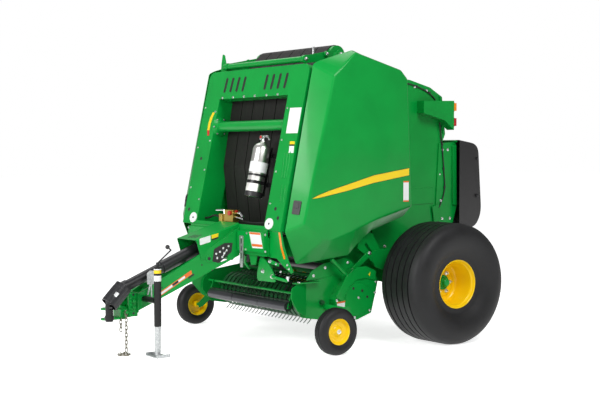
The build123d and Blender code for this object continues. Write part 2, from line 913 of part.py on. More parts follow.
def drive_joint():
    x, y, z = yoke_top
    made = rod(shaft_start, shaft_bend, joint_shaft) + Pos(*shaft_bend) * Sphere(joint_shaft + 2)
    made += rod(shaft_bend, (x, y, z + 34), joint_shaft)
    return made + rod((x, y, z + seat), (x, y, z + 48), yoke_radius - 4)


def bell():
    """Guard over the driveline's front joint; it hangs with the free yoke."""
    way = (0, -cos(radians(bell_dip)), -sin(radians(bell_dip)))
    back = tuple(a - bell_length * b for a, b in zip(bell_mouth, way))
    made = rod(back, bell_mouth, bell_radius)
    made -= rod(towards(back, bell_mouth, 0.12), towards(back, bell_mouth, 1.1), bell_radius - 5)
    made -= rod(shaft_start, shaft_bend, joint_shaft + seat)
    near, end = towards(gearbox_face, guard_front, 0.985), towards(gearbox_face, guard_front, 1.03)
    collar = rod(near, end, guard_tube + 7)
    core = rod(towards(gearbox_face, guard_front, 0.9), towards(gearbox_face, guard_front, 1.1), guard_tube + seat)
    return made + collar - core


def yoke():
    x, y, z = yoke_top
    made = rod((x, y, z), (x, y, z - yoke_length), yoke_radius)
    made += rod((x, y, z - yoke_length + 44), (x, y, z - yoke_length + 14), yoke_radius + 6)
    made -= rod((x, y, z - yoke_length - 1), (x, y, z - 50), yoke_bore)
    made -= block(x - 40, x + 40, y - 13, y + 13, z - 44, z + 1)
    return made + rod((x, y - yoke_radius, z - 18), (x, y + yoke_radius, z - 18), 9)


louvre_count = 4
louvre_first = 80.0
louvre_pitch = 46.0
louvre_size = (60.0, 8.0, 16.0)
louvre_high = 134.0


hood_mouth = (0.0, -1180.0, 785.0)
hood_half = 158.0
hood_roof = 62.0              # half width of the flat roof
hood_shoulder = 108.0
hood_high = 158.0
hood_low = -60.0
hood_length = 440.0
hood_sheet = 4.0


def hood():
    """Six-sided cover over the driveline's inner joint, cut to sit on the tongue's plates."""
    wide, roof, high = hood_half, hood_roof, hood_high
    outline = ((-wide, hood_low), (-wide, hood_shoulder), (-roof, high), (roof, high), (wide, hood_shoulder),
               (wide, hood_low))
    in_wide, in_roof = wide - hood_sheet, roof - hood_sheet / 2
    in_shoulder, in_low = hood_shoulder - hood_sheet + 1, hood_low - 1
    inner = ((-in_wide, in_low), (-in_wide, in_shoulder), (-in_roof, high - hood_sheet - 1),
             (in_roof, high - hood_sheet - 1), (in_wide, in_shoulder), (in_wide, in_low))
    tilt = radians(hood_tilt)
    mouth = Plane(origin=hood_mouth, x_dir=(1, 0, 0), z_dir=(0, -cos(tilt), -sin(tilt)))
    shell = extrude(mouth * outlined(outline), -hood_length)
    shell -= extrude(mouth * Pos(0, 0, 1) * outlined(inner), -hood_length - 2)
    fall = degrees(atan2(outline[3][1] - outline[4][1], wide - roof))
    for number in range(louvre_count):
        for side in (-1, 1):
            spot = Pos(side * (wide + roof) / 2, louvre_high, -louvre_first - louvre_pitch * number)
            shell += mouth * spot * Rot(0, 0, -side * fall) * Box(*louvre_size)
    lift = seat + 0.6 * tongue_sheet * sin(tongue_turn)
    under = [(tongue_rear_y - s * cos(tongue_turn), z + lift) for s, z in tongue_outline[:6]]
    below = under + [(under[-1][0], 0), (0, 0), (0, under[0][1])]
    shell -= side_plate(below, -200, 400)
    return shell - block(-200, 200, tongue_rear_y - seat, 0, 600, 1300)


# Jack
def jack():
    x, y = jack_x, jack_y
    rim = jack_top - jack_collar
    made = pipe((x, y, jack_bottom), (x, y, rim), jack_tube, jack_wall)
    made += rod((x, y, rim), (x, y, jack_top), jack_tube + 3)
    screw_top = jack_top + 32
    made += rod((x, y, jack_top), (x, y, screw_top), jack_collar)
    knee = (x, y + crank_knee[0], jack_top + crank_knee[1])
    grip = (x, y + crank_grip[0], jack_top + crank_grip[1])
    made += rod((x, y, screw_top - crank_rod), knee, crank_rod) + rod(knee, grip, crank_rod)
    made += Pos(*grip) * Sphere(grip_radius)
    flange = tongue_x(y) + tongue_sheet / cos(tongue_turn) + stub_radius * tan(tongue_turn) + seat
    made += rod((flange, y, stub_z), (x - jack_tube + 2, y, stub_z), stub_radius)
    return made


def jack_leg():
    x, y = jack_x, jack_y
    made = pipe((x, y, foot_sheet), (x, y, jack_bottom + 160), jack_leg_radius, 3)
    end, half = foot_length / 2, foot_width / 2
    made += block(x - end, x + end, y - half, y + half, 0, foot_sheet)
    for side in (-1, 1):
        x0, x1 = sorted((x + side * end, x + side * (end + foot_sheet)))
        made += block(x0, x1, y - half, y + half, 0, foot_lip)
    return made


# Fire extinguisher in the mouth, with its bracket
can_radius = 75.0
can_low = (285.0, front_y(1245) + 5, 1245.0)
can_high = (285.0, front_y(1700) + 5, 1700.0)


def extinguisher():
    length = (Vector(*can_high) - Vector(*can_low)).length
    points = ((0, 0), (can_radius - 6, 0), (can_radius, 10), (can_radius, length - 45), (50, length - 8),
              (20, length), (20, length + 22), (0, length + 22))
    section = make_face(Polyline(*points, close=True))
    can = Plane(origin=can_low, x_dir=(1, 0, 0), z_dir=Vector(*can_high) - Vector(*can_low))
    made = can * revolve(Plane.XZ * section, Axis.Z)
    made += can * Pos(20, 0, length + 45) * Box(90, 22, 14) + can * Pos(0, 0, length + 34) * Box(30, 24, 24)
    made += can * Pos(45, 0, length + 20) * Rot(0, 30, 0) * Box(60, 16, 8)
    return made


def extinguisher_bracket():
    slope_dir = Vector(*can_high) - Vector(*can_low)
    can = Plane(origin=can_low, x_dir=(1, 0, 0), z_dir=slope_dir)
    made = can * Pos(0, can_radius + 5.3, 230) * Box(90, 8, 420)
    for high in (120, 370):
        made += can * Pos((opening_half - seat - 285) / 2, can_radius + 12, high) * Box(opening_half - seat - 285, 8, 40)
        ring = Cylinder(can_radius + 3, 24) - Cylinder(can_radius + seat, 25)
        made += can * Pos(0, 0, high) * ring
    return made


# Lower front box that carries the portal's foot, and the valve block on it
lower_top = portal_bottom - seat
lower_half = 600.0
lower_low = 770.0
fold_depth = 28.0             # of the two folded panels each side of the tongue
fold_low = 800.0
fold_high = 965.0


def lower_front():
    face = lower_front_back - lower_front_sheet
    made = block(-lower_half, lower_half, face, lower_front_back, lower_low, lower_top)
    made += portal_box(10 - lower_half, lower_half - 10, lower_top - 8, lower_top, -5, 40)
    for side in (-1, 1):
        x0, x1 = sorted((side * (tongue_rear_x + 15), side * lower_half))
        made += block(x0, x1, face - fold_depth, face, fold_low, fold_high)
    return made


valve_low = opening_bottom + seat
valve_size = (90.0, 52.0, 64.0)
valve_x = -75.0
valve_deep = 78.0
hose_radius = 9.0
port_y = front_y(valve_low + 30) + valve_deep * cos(radians(lean))
port_z = valve_low + 30 - valve_deep * sin(radians(lean))


def valve_block():
    wide, high, deep = valve_size
    made = portal_box(valve_x - wide / 2, valve_x + wide / 2, valve_low, valve_low + high,
                      valve_deep - deep / 2, valve_deep + deep / 2)
    return made + rod((valve_x - wide / 2 - 30, port_y, port_z), (valve_x + wide / 2 + 30, port_y, port_z), 12)


def hoses():
    """Two hoses from the valve block to the columns, the right one looped up."""
    start, end = valve_x + valve_size[0] / 2 + 30, opening_half - seat
    left = ((start, port_y, port_z), (start + 80, port_y, port_z), (220, port_y + 6, port_z - 8),
            (400, port_y + 10, port_z), (end - 60, port_y + 10, port_z + 10), (end, port_y + 10, port_z + 10))
    start = valve_x - valve_size[0] / 2 - 30
    right = ((start, port_y, port_z), (start - 70, port_y, port_z), (-320, port_y + 6, port_z + 34),
             (-400, port_y + 6, port_z + 34), (-470, port_y + 6, port_z + 6), (-end, port_y + 6, port_z + 6))
    return [tube_along(left, hose_radius), tube_along(right, hose_radius)]


def tube_along(points, radius):
    """A bent tube: straight runs joined by arcs as large as the runs allow."""
    bends = []
    for before, at, after in zip(points, points[1:], points[2:]):
        one, two = Vector(*at) - Vector(*before), Vector(*after) - Vector(*at)
        turn = radians(one.get_angle(two))
        bends.append(0.45 * min(one.length, two.length) / tan(turn / 2))
    path = FilletPolyline(*points, radius=bends)
    section = Plane(origin=points[0], z_dir=Vector(*points[1]) - Vector(*points[0])) * Circle(radius)
    return sweep(section, path=path)


# Safety chain, link by link
def ring():
    """One link lying flat, six-sided, along X."""
    long, wide = link_inside / 2, link_open / 2
    outer = ((long + link_wire, 0), (long, wide + link_wire), (-long, wide + link_wire), (-long - link_wire, 0),
             (-long, -wide - link_wire), (long, -wide - link_wire))
    inner = ((long, 0), (long - link_taper, wide), (link_taper - long, wide), (-long, 0),
             (link_taper - long, -wide), (long - link_taper, -wide))
    face = make_face(Polyline(*outer, close=True)) - make_face(Polyline(*inner, close=True))
    return extrude(face, link_wire / 2, both=True)


def chain():
    made = []
    spot = Vector(*chain_top)
    step = link_step
    number = 0
    for count, fall, turn in chain_steps:
        way = Vector(cos(radians(fall)) * sin(radians(turn)), -cos(radians(fall)) * cos(radians(turn)),
                     -sin(radians(fall)))
        for repeat in range(count):
            flat = Vector(1, 0, 0) if fall > 45 else Vector(0, 0, 1)
            place = Plane(origin=spot + way * (step / 2), x_dir=way, z_dir=flat.cross(way).cross(way) * -1)
            made.append(place * Rot(90 * (number % 2), 0, 0) * ring())
            spot = spot + way * step
            number += 1
    return made


# Wiring on the tailgate's left side
def harness():
    x = gate_inner + gate_sheet + 6 + seat
    upper = ((x, 450, 2252), (x, 700, 2225), (x, 950, 2140), (x, 1000, 2085))
    x += 10 + seat
    lower = ((x, 1046, 1884), (x, 1076, 1682), (x, 1095, 1502), (x, 1122, 1231), (x, 1040, 1120))
    return [tube_along(upper, 6), tube_along(lower, 6)]


reflector_place = (598.0, 1037.0)
reflector_half = (58.0, 46.0)


def reflector_plates():
    made = []
    for side in (-1, 1):
        spot = front * Pos(side * reflector_place[0], reflector_place[1] * rise, seat)
        made.append(spot * extrude(Ellipse(*reflector_half), 4))
    return made


left_pieces = {
    "main_tyre": main_tyre(),
    "main_rim": main_rim(),
    "main_hub": main_hub(),
    "gauge_tyre": gauge_tyre(),
    "gauge_rim": gauge_rim_disc(),
    "gate_cylinder": barrel(),
    "gate_rod": piston(),
    "shield": shield(),
}
for name, piece in left_pieces.items():
    save(name + "_left", piece)
    save(name + "_right", mirrored(piece))

pairs = {
    "chamber_sides": chamber_side(),
    "gauge_arms": gauge_arm(),
    "gate_sides": gate_side(),
    "lamp_brackets": lamp_bracket(),
    "lamps_amber": lamp(*lamps[0]),
    "lamps_red": lamp(*lamps[1]),
}
for name, piece in pairs.items():
    save(name, piece, mirrored(piece))

save("front_portal", front_portal())
save("chamber_rollers", *chamber_rollers())
save("chamber_belts", *chamber_belts())
save("mouth_tube", mouth_tube())
save("tension_arm", tension_arm())
save("axle_frame", axle_frame())
save("lower_front", lower_front())
save("pickup_frame", pickup_frame())
save("pickup_bands", *pickup_bands())
save("windguard", windguard())
save("pickup_reel", reel())
save("pickup_drive_cover", drive_cover())
save("gate_frame", *gate_frame())
save("gate_rollers", *gate_rollers())
save("gate_belts", *gate_belts())
save("wrap_box", wrap_box())
save("wrap_cover", wrap_cover())
save("tongue", tongue())
save("hitch", hitch())
save("gearbox", gearbox())
save("gearbox_hood", hood())
save("driveline_guards", *drive_guards())
save("driveline_bell", bell())
save("driveline_joint", drive_joint())
save("driveline_yoke", yoke())
save("jack_tube", jack())
save("jack_leg", jack_leg())
save("fire_extinguisher", extinguisher())
save("extinguisher_bracket", extinguisher_bracket())
save("valve_block", valve_block())
save("hoses", *hoses())
save("safety_chain", *chain())
save("wiring_harness", *harness())
save("reflectors", *reflector_plates())
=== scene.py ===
import bpy
import bmesh
import json
import math
from mathutils import Matrix, Vector


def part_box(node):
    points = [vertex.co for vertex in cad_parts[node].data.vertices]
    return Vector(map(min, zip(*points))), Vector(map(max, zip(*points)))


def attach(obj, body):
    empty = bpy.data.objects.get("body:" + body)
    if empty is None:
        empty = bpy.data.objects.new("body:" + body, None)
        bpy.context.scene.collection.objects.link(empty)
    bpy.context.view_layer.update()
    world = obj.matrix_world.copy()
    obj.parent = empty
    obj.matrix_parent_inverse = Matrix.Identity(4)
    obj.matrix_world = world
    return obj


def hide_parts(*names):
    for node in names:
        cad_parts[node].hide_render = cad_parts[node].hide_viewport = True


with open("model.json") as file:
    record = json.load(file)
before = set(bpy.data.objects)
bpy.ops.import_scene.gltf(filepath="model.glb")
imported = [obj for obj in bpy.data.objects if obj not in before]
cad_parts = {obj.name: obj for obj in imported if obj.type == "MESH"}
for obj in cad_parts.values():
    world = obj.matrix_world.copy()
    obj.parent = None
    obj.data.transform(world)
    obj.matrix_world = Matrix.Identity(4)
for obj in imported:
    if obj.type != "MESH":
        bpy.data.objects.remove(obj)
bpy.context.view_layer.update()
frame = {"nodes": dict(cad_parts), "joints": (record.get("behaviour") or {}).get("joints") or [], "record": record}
nodes = frame["nodes"]
joints = {joint["name"]: joint for joint in frame["joints"]}

# Lengthways places below are given from the chamber's middle, and spot() moves them to the frame
wheelY = 0.654
midShift = joints["main_wheel_left_spin"]["pos_m"][1] - wheelY


def spot(x, y, z):
    return Vector((x, y + midShift, z))


# Camera, fitted to the photograph, 600 pixels wide
camera = {"place": (8.658, -6.305, 1.628), "aim": (0, 0, 1.1), "focalPx": 1203.97, "widthPx": 600,
          "centrePx": (4.22, 10.33), "sensorMm": 36}


def addCamera():
    data = bpy.data.cameras.new("camera")
    data.sensor_width = camera["sensorMm"]
    data.lens = camera["focalPx"] / camera["widthPx"] * camera["sensorMm"]
    data.shift_x = -camera["centrePx"][0] / camera["widthPx"]
    data.shift_y = camera["centrePx"][1] / camera["widthPx"]
    data.clip_end = 200
    made = bpy.data.objects.new("camera", data)
    made.location = spot(*camera["place"])
    made.rotation_euler = (spot(*camera["aim"]) - made.location).to_track_quat("-Z", "Y").to_euler()
    bpy.context.scene.collection.objects.link(made)
    bpy.context.scene.camera = made


addCamera()
print("camera set")

# Materials


def toLinear(hexColour):
    parts = [int(hexColour[i:i + 2], 16) / 255 for i in (1, 3, 5)]
    return tuple(p / 12.92 if p <= 0.04045 else ((p + 0.055) / 1.055) ** 2.4 for p in parts) + (1.0,)


mixA, mixB = 6, 7  # colour sockets of a Mix node
grainsPerScale = 6  # noise of scale 1 has about so many grains to a metre


def noiseScale(grainMm):
    return 1000 / grainMm / grainsPerScale


# Sets a node's inputs and settings, then links its inputs
def setNode(tree, node, settings=None, links=None):
    for key, value in (settings or {}).items():
        if isinstance(key, int) or key in node.inputs:
            node.inputs[key].default_value = value
        else:
            setattr(node, key, value)
    for key, source in (links or {}).items():
        tree.links.new(source, node.inputs[key])
    return node


def addNode(tree, kind, settings=None, links=None):
    return setNode(tree, tree.nodes.new(kind), settings, links)


def startMaterial(name, hexColour, settings):
    made = bpy.data.materials.new(name)
    made.use_nodes = True
    tree = made.node_tree
    bsdf = setNode(tree, tree.nodes["Principled BSDF"], {"Base Color": toLinear(hexColour), **settings})
    return made, tree, bsdf, addNode(tree, "ShaderNodeTexCoord").outputs["Object"]


# Sprayed enamel on steel: an even colour, orange peel and rounded edges that catch the light
def paint(name, hexColour, darker, roughness, coat, peelMm=1.2, edgeMm=2.5):
    made, tree, bsdf, place = startMaterial(name, hexColour, {
        "Roughness": roughness, "Coat Weight": coat, "Specular IOR Level": 0.2, "Coat Roughness": 0.08})
    clouds = addNode(tree, "ShaderNodeTexNoise", {"Scale": 3.0, "Detail": 3.0}, {"Vector": place})
    spread = addNode(tree, "ShaderNodeMapRange", {"From Min": 0.35, "From Max": 0.6},
                     {"Value": clouds.outputs["Fac"]})
    shade = addNode(tree, "ShaderNodeMix",
                    {"data_type": "RGBA", mixA: toLinear(darker), mixB: toLinear(hexColour)},
                    {"Factor": spread.outputs["Result"]})
    rough = addNode(tree, "ShaderNodeMapRange", {"To Min": roughness - 0.05, "To Max": roughness + 0.08},
                    {"Value": clouds.outputs["Fac"]})
    peel = addNode(tree, "ShaderNodeTexNoise", {"Scale": noiseScale(peelMm), "Detail": 1.0}, {"Vector": place})
    edge = addNode(tree, "ShaderNodeBevel", {"samples": 4, "Radius": edgeMm / 1000})
    bump = addNode(tree, "ShaderNodeBump", {"Strength": 0.05, "Distance": 0.0004},
                   {"Height": peel.outputs["Fac"], "Normal": edge.outputs["Normal"]})
    setNode(tree, bsdf, links={"Base Color": shade.outputs[2], "Roughness": rough.outputs["Result"],
                               "Normal": bump.outputs["Normal"]})
    return made


# Moulded, cast or plated surface with a fine grain and slight blotches
def plain(name, hexColour, roughness, metallic=0.0, grainMm=0.0, depthMm=0.05, edgeMm=1.5, blotch=0.12, coat=0.0):
    made, tree, bsdf, place = startMaterial(name, hexColour, {
        "Roughness": roughness, "Metallic": metallic, "Coat Weight": coat})
    clouds = addNode(tree, "ShaderNodeTexNoise", {"Scale": 9.0, "Detail": 4.0}, {"Vector": place})
    tone = addNode(tree, "ShaderNodeMapRange", {"To Min": 1 - blotch, "To Max": 1 + blotch},
                   {"Value": clouds.outputs["Fac"]})
    shade = addNode(tree, "ShaderNodeMix", {"data_type": "RGBA", "blend_type": "MULTIPLY", "Factor": 1.0,
                                            mixA: toLinear(hexColour)}, {mixB: tone.outputs["Result"]})
    surface = addNode(tree, "ShaderNodeBevel", {"samples": 4, "Radius": edgeMm / 1000})
    if grainMm:
        grain = addNode(tree, "ShaderNodeTexNoise", {"Scale": noiseScale(grainMm), "Detail": 2.0},
                        {"Vector": place})
        surface = addNode(tree, "ShaderNodeBump", {"Strength": 0.4, "Distance": depthMm / 1000},
                          {"Height": grain.outputs["Fac"], "Normal": surface.outputs["Normal"]})
    setNode(tree, bsdf, links={"Base Color": shade.outputs[2], "Normal": surface.outputs["Normal"]})
    return made


# Rubber belting with a pressed diamond pattern and lengthways scuffs
def wovenBelting():
    made, tree, bsdf, place = startMaterial("rubberBelting", "#1B1B1B", {
        "Roughness": 0.62, "Specular IOR Level": 0.25})
    across = addNode(tree, "ShaderNodeMapping", {"Scale": (1.0, 1.0, 0.06)}, {"Vector": place})
    scuffs = addNode(tree, "ShaderNodeTexNoise", {"Scale": 55.0, "Detail": 5.0},
                     {"Vector": across.outputs["Vector"]})
    shade = addNode(tree, "ShaderNodeValToRGB", {}, {"Fac": scuffs.outputs["Fac"]})
    for stop, hexColour in zip(shade.color_ramp.elements, ("#0D0D0D", "#262522")):
        stop.color = toLinear(hexColour)
    diamonds = addNode(tree, "ShaderNodeTexVoronoi", {"Scale": 90.0}, {"Vector": place})
    bump = addNode(tree, "ShaderNodeBump", {"Strength": 0.5, "Distance": 0.0008},
                   {"Height": diamonds.outputs["Distance"]})
    setNode(tree, bsdf, links={"Base Color": shade.outputs["Color"], "Normal": bump.outputs["Normal"]})
    return made


# Hot-dip zinc: pale grey with crystals about 8 mm across
def galvanised():
    made, tree, bsdf, place = startMaterial("zincHotDip", "#B9BCBE", {"Roughness": 0.42, "Metallic": 0.85})
    spangle = addNode(tree, "ShaderNodeTexVoronoi", {"Scale": 120.0}, {"Vector": place}).outputs["Color"]
    shade = addNode(tree, "ShaderNodeValToRGB", {}, {"Fac": spangle})
    for stop, hexColour in zip(shade.color_ramp.elements, ("#A3A7AA", "#D4D6D6")):
        stop.color = toLinear(hexColour)
    rough = addNode(tree, "ShaderNodeMapRange", {"To Min": 0.32, "To Max": 0.52}, {"Value": spangle})
    edge = addNode(tree, "ShaderNodeBevel", {"samples": 4, "Radius": 0.0015})
    setNode(tree, bsdf, links={"Base Color": shade.outputs["Color"], "Roughness": rough.outputs["Result"],
                               "Normal": edge.outputs["Normal"]})
    return made


# Moulded carbon-black rubber, matt on the tread, with a faint bloom and mould marks
def tyreRubber():
    made, tree, bsdf, place = startMaterial("rubberTyre", "#151516", {
        "Roughness": 0.5, "Specular IOR Level": 0.35})
    bloom = addNode(tree, "ShaderNodeTexNoise", {"Scale": 6.0, "Detail": 6.0, "Roughness": 0.65},
                    {"Vector": place}).outputs["Fac"]
    shade = addNode(tree, "ShaderNodeValToRGB", {}, {"Fac": bloom})
    for stop, share, hexColour in zip(shade.color_ramp.elements, (0.3, 0.75), ("#0F0F10", "#1D1D1F")):
        stop.position = share
        stop.color = toLinear(hexColour)
    rough = addNode(tree, "ShaderNodeMapRange", {"To Min": 0.42, "To Max": 0.66}, {"Value": bloom})
    grain = addNode(tree, "ShaderNodeTexNoise", {"Scale": 260.0, "Detail": 2.0}, {"Vector": place})
    bump = addNode(tree, "ShaderNodeBump", {"Strength": 0.25, "Distance": 0.0006},
                   {"Height": grain.outputs["Fac"]})
    setNode(tree, bsdf, links={"Base Color": shade.outputs["Color"], "Roughness": rough.outputs["Result"],
                               "Normal": bump.outputs["Normal"]})
    return made


enamelGreen = paint("enamelGreen", "#03963A", "#038F37", 0.3, 0.12)
# A darker copy of the green: painted shade for the pickup's reel and bands, which sit in shadow behind the
# windguard
paintedShadeGreen = paint("enamelGreenPaintedShade", "#0F5A2A", "#0C4A22", 0.42, 0.1)
enamelYellow = paint("enamelYellow", "#FFD60F", "#F8CC0C", 0.34, 0.3)
enamelBlack = paint("enamelBlack", "#171718", "#131314", 0.38, 0.2)
rubberBelting = wovenBelting()
rubberTyre = tyreRubber()
zincHotDip = galvanised()
zincPlate = plain("zincPlateBright", "#D9DADB", 0.28, 1.0, blotch=0.05, edgeMm=0.8)
chromePlate = plain("chromePlate", "#E4E5E6", 0.08, 1.0, blotch=0.03, edgeMm=0.5)
stainlessPolished = plain("stainlessPolished", "#EEEDE8", 0.3, 1.0, blotch=0.04, edgeMm=0.5)
polyBlack = plain("polypropyleneBlack", "#201F20", 0.46, grainMm=1.6, depthMm=0.12)
guardBlack = plain("polyethyleneGuard", "#1D1D20", 0.33, grainMm=2.5, depthMm=0.08)
hoseBlack = plain("hoseRubber", "#171717", 0.5, grainMm=1.0)
steelDark = plain("steelOiled", "#3A3A3C", 0.42, 0.8, grainMm=1.5)
passivatedBrass = plain("zincYellowPassivated", "#B39A4C", 0.34, 0.9, blotch=0.25)
amberAcrylic = plain("acrylicAmber", "#F08A12", 0.15, edgeMm=1.0, coat=0.6)
redAcrylic = plain("acrylicRed", "#B8101B", 0.15, edgeMm=1.0, coat=0.6)
vinylWhite = plain("vinylWhite", "#ECEEEE", 0.4, blotch=0.03, edgeMm=0.3)
vinylYellow = plain("vinylYellow", "#F4D21B", 0.35, blotch=0.03, edgeMm=0.3)
vinylOrange = plain("vinylOrange", "#E4702A", 0.4, blotch=0.03, edgeMm=0.3)
vinylRed = plain("vinylRed", "#C8261F", 0.4, blotch=0.03, edgeMm=0.3)
vinylBlack = plain("vinylBlack", "#19191A", 0.4, blotch=0.03, edgeMm=0.3)
chainSteel = plain("zincWornChain", "#7F7A6C", 0.45, 0.7, blotch=0.3, edgeMm=0.4)
knobRed = plain("polyamideRed", "#C22A22", 0.35)
rollerSteel = plain("steelRollerDark", "#46464B", 0.3, 0.55, grainMm=2.0)

finishes = {
    "green_paint": enamelGreen, "yellow_paint": enamelYellow, "black_paint": enamelBlack,
    "belt_rubber": rubberBelting, "tyre": rubberTyre, "black_plastic": polyBlack, "zinc": zincHotDip,
    "chrome_rod": chromePlate, "extinguisher_shell": stainlessPolished, "brass": passivatedBrass,
    "hose_rubber": hoseBlack, "amber_lens": amberAcrylic, "red_lens": redAcrylic, "grey_steel": steelDark,
}
ownFinish = {
    "driveline_bell": guardBlack, "driveline_guards": guardBlack, "reflectors": vinylWhite, "gearbox": steelDark,
    # The pickup's bands and reel take the green darkened as painted shade
    "pickup_bands": paintedShadeGreen, "pickup_reel": paintedShadeGreen, "windguard": rollerSteel,
    "wrap_box": enamelGreen,
}
for part in frame["record"]["subparts"]:
    if part["node"] in nodes:
        mesh = nodes[part["node"]].data
        mesh.materials.clear()
        mesh.materials.append(ownFinish.get(part["node"], finishes[part["material_slot"]]))

# Slot names keyed by material name
slotOf = {material.name: slot for slot, material in finishes.items()}
slotOf.update({zincPlate.name: "zinc", chainSteel.name: "zinc"})
print("materials made")

# Modelling helpers: each adds a shape to an open bmesh
ahead, outward, upward = (0, -1, 0), (1, 0, 0), (0, 0, 1)
film, thinFilm = 0.0005, 0.0004  # a blank label and a bar printed on it


# The line from start to end becomes the shape's Z, its middle the origin
def alongAxis(start, end):
    turn = (end - start).to_track_quat("Z", "Y").to_matrix().to_4x4()
    return Matrix.Translation((start + end) / 2) @ turn


def addRod(bm, start, end, radius, sides=24, tip=None):
    start, end = Vector(start), Vector(end)
    bmesh.ops.create_cone(bm, cap_ends=True, segments=sides, radius1=radius,
                          radius2=radius if tip is None else tip, depth=(end - start).length,
                          matrix=alongAxis(start, end))


def addBox(bm, low, high, place=None):
    low, high = Vector(low), Vector(high)
    size = Matrix.Diagonal((*(high - low), 1))
    bmesh.ops.create_cube(bm, size=1, matrix=(place or Matrix()) @ Matrix.Translation((low + high) / 2) @ size)


def addBall(bm, centre, radius, rings=12):
    bmesh.ops.create_uvsphere(bm, u_segments=2 * rings, v_segments=rings, radius=radius,
                              matrix=Matrix.Translation(centre))


# Adds a shape, then turns and moves what it added
def addPlaced(bm, place, add, *values):
    known = set(bm.verts)
    add(bm, *values)
    bmesh.ops.transform(bm, matrix=place, verts=[vert for vert in bm.verts if vert not in known])


# Flat plate: the outline lies in X and Y and is raised by thick along Z, its upright edges rounded
def addFlat(bm, outline, thick, rounding):
    face = bm.faces.new([bm.verts.new((x, y, 0)) for x, y in outline])
    body = bmesh.ops.extrude_face_region(bm, geom=[face])
    top = [part for part in body["geom"] if isinstance(part, bmesh.types.BMVert)]
    bmesh.ops.translate(bm, verts=top, vec=(0, 0, thick))
    if rounding:
        upright = [edge for vert in top for edge in vert.link_edges
                   if abs(edge.verts[0].co.z - edge.verts[1].co.z) > thick / 2]
        bmesh.ops.bevel(bm, geom=upright, offset=rounding, segments=4, profile=0.5, affect="EDGES", material=-1)


def addPlate(bm, outline, thick, place, rounding=0.0):
    addPlaced(bm, place, addFlat, outline, thick, rounding)


# Hexagon head on its washer, in shares of the size across its flats
bolt = {"sunk": 0.001, "washer": 0.12, "washerRadius": 0.72, "head": 0.52, "crown": (0.5, 0.6),
        "crownRadius": 0.42}


def addBolt(bm, place, way, size):
    place, way = Vector(place), Vector(way).normalized()
    corner = size / math.sqrt(3)
    low, high = bolt["crown"]
    addRod(bm, place - way * bolt["sunk"], place + way * size * bolt["washer"], size * bolt["washerRadius"], 16)
    addRod(bm, place, place + way * size * bolt["head"], corner, 6)
    addRod(bm, place + way * size * low, place + way * size * high, corner, 6, size * bolt["crownRadius"])


# Bent bar through the points, with a ball at each bend
def addTube(bm, points, radius, sides=12):
    points = [Vector(point) for point in points]
    for start, end in zip(points, points[1:]):
        addRod(bm, start, end, radius, sides)
    for point in points[1:-1]:
        addBall(bm, point, radius, sides // 2)


def closedLoop(bm, verts):
    return [bm.edges.new(pair) for pair in zip(verts, verts[1:] + verts[:1])]


# Closed section of places along the axis and radii, turned about X, or about Z if upright
def addTurned(bm, section, steps, upright=False):
    verts = [bm.verts.new((r, 0, a) if upright else (a, 0, r)) for a, r in section]
    bmesh.ops.spin(bm, geom=verts + closedLoop(bm, verts), cent=(0, 0, 0),
                   axis=upward if upright else outward, angle=math.tau, steps=steps, use_merge=True)


def ringSection(radius, wire, count):
    turns = [math.tau * number / count for number in range(count)]
    return [(wire * math.sin(turn), radius + wire * math.cos(turn)) for turn in turns]


# The same shapes, with places given from the chamber's middle
def rodAt(bm, start, end, *values):
    addRod(bm, spot(*start), spot(*end), *values)


def boltAt(bm, place, way, size):
    addBolt(bm, spot(*place), way, size)


def boxAt(bm, low, high):
    addBox(bm, spot(*low), spot(*high))


def tubeAt(bm, points, radius, sides):
    addTube(bm, [spot(*point) for point in points], radius, sides)


# Plate along the machine: its outline is Y and height, its thickness towards +X
def sidePlate(bm, x, outline, thick, rounding=0.0):
    turned = Matrix(((0, 0, 1, 0), (1, 0, 0, 0), (0, 1, 0, 0), (0, 0, 0, 1)))
    addPlate(bm, outline, thick, Matrix.Translation(spot(x, 0, 0)) @ turned, rounding)


# Plate across the machine: its outline is X and height, its thickness towards the front
def frontPlate(bm, y, outline, thick, rounding=0.0):
    turned = Matrix(((1, 0, 0, 0), (0, 0, -1, 0), (0, 1, 0, 0), (0, 0, 0, 1)))
    addPlate(bm, outline, thick, Matrix.Translation(spot(0, y, 0)) @ turned, rounding)


# Adds the machine's right half to a left one
def mirrorAll(bm):
    copy = bmesh.ops.duplicate(bm, geom=bm.verts[:] + bm.edges[:] + bm.faces[:])
    fresh = [part for part in copy["geom"] if isinstance(part, bmesh.types.BMVert)]
    bmesh.ops.scale(bm, vec=(-1, 1, 1), verts=fresh)
    bmesh.ops.reverse_faces(bm, faces=[part for part in copy["geom"] if isinstance(part, bmesh.types.BMFace)])


# One visible piece: each row of shapes is the helper that adds a shape and what it is given
def piece(name, material, shapes, stands=(), body="chassis", slotName=None, place=None, side=1, bevel=0.0,
          smooth=40):
    bm = bmesh.new()
    for add, *values in shapes:
        add(bm, *values)
    if place:
        bmesh.ops.transform(bm, matrix=place, verts=bm.verts)
    if side < 0:
        bmesh.ops.scale(bm, vec=(-1, 1, 1), verts=bm.verts)
    bmesh.ops.recalc_face_normals(bm, faces=bm.faces)
    mesh = bpy.data.meshes.new(name)
    bm.to_mesh(mesh)
    bm.free()
    mesh.shade_smooth()
    mesh.set_sharp_from_angle(angle=math.radians(smooth))
    mesh.materials.append(material)
    made = bpy.data.objects.new(name, mesh)
    bpy.context.scene.collection.objects.link(made)
    if bevel:
        edge = made.modifiers.new("edges", "BEVEL")
        edge.width = bevel
        edge.segments = 2
        edge.limit_method = "ANGLE"
        edge.angle_limit = math.radians(35)
    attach(made, body)
    if stands:
        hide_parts(*stands)


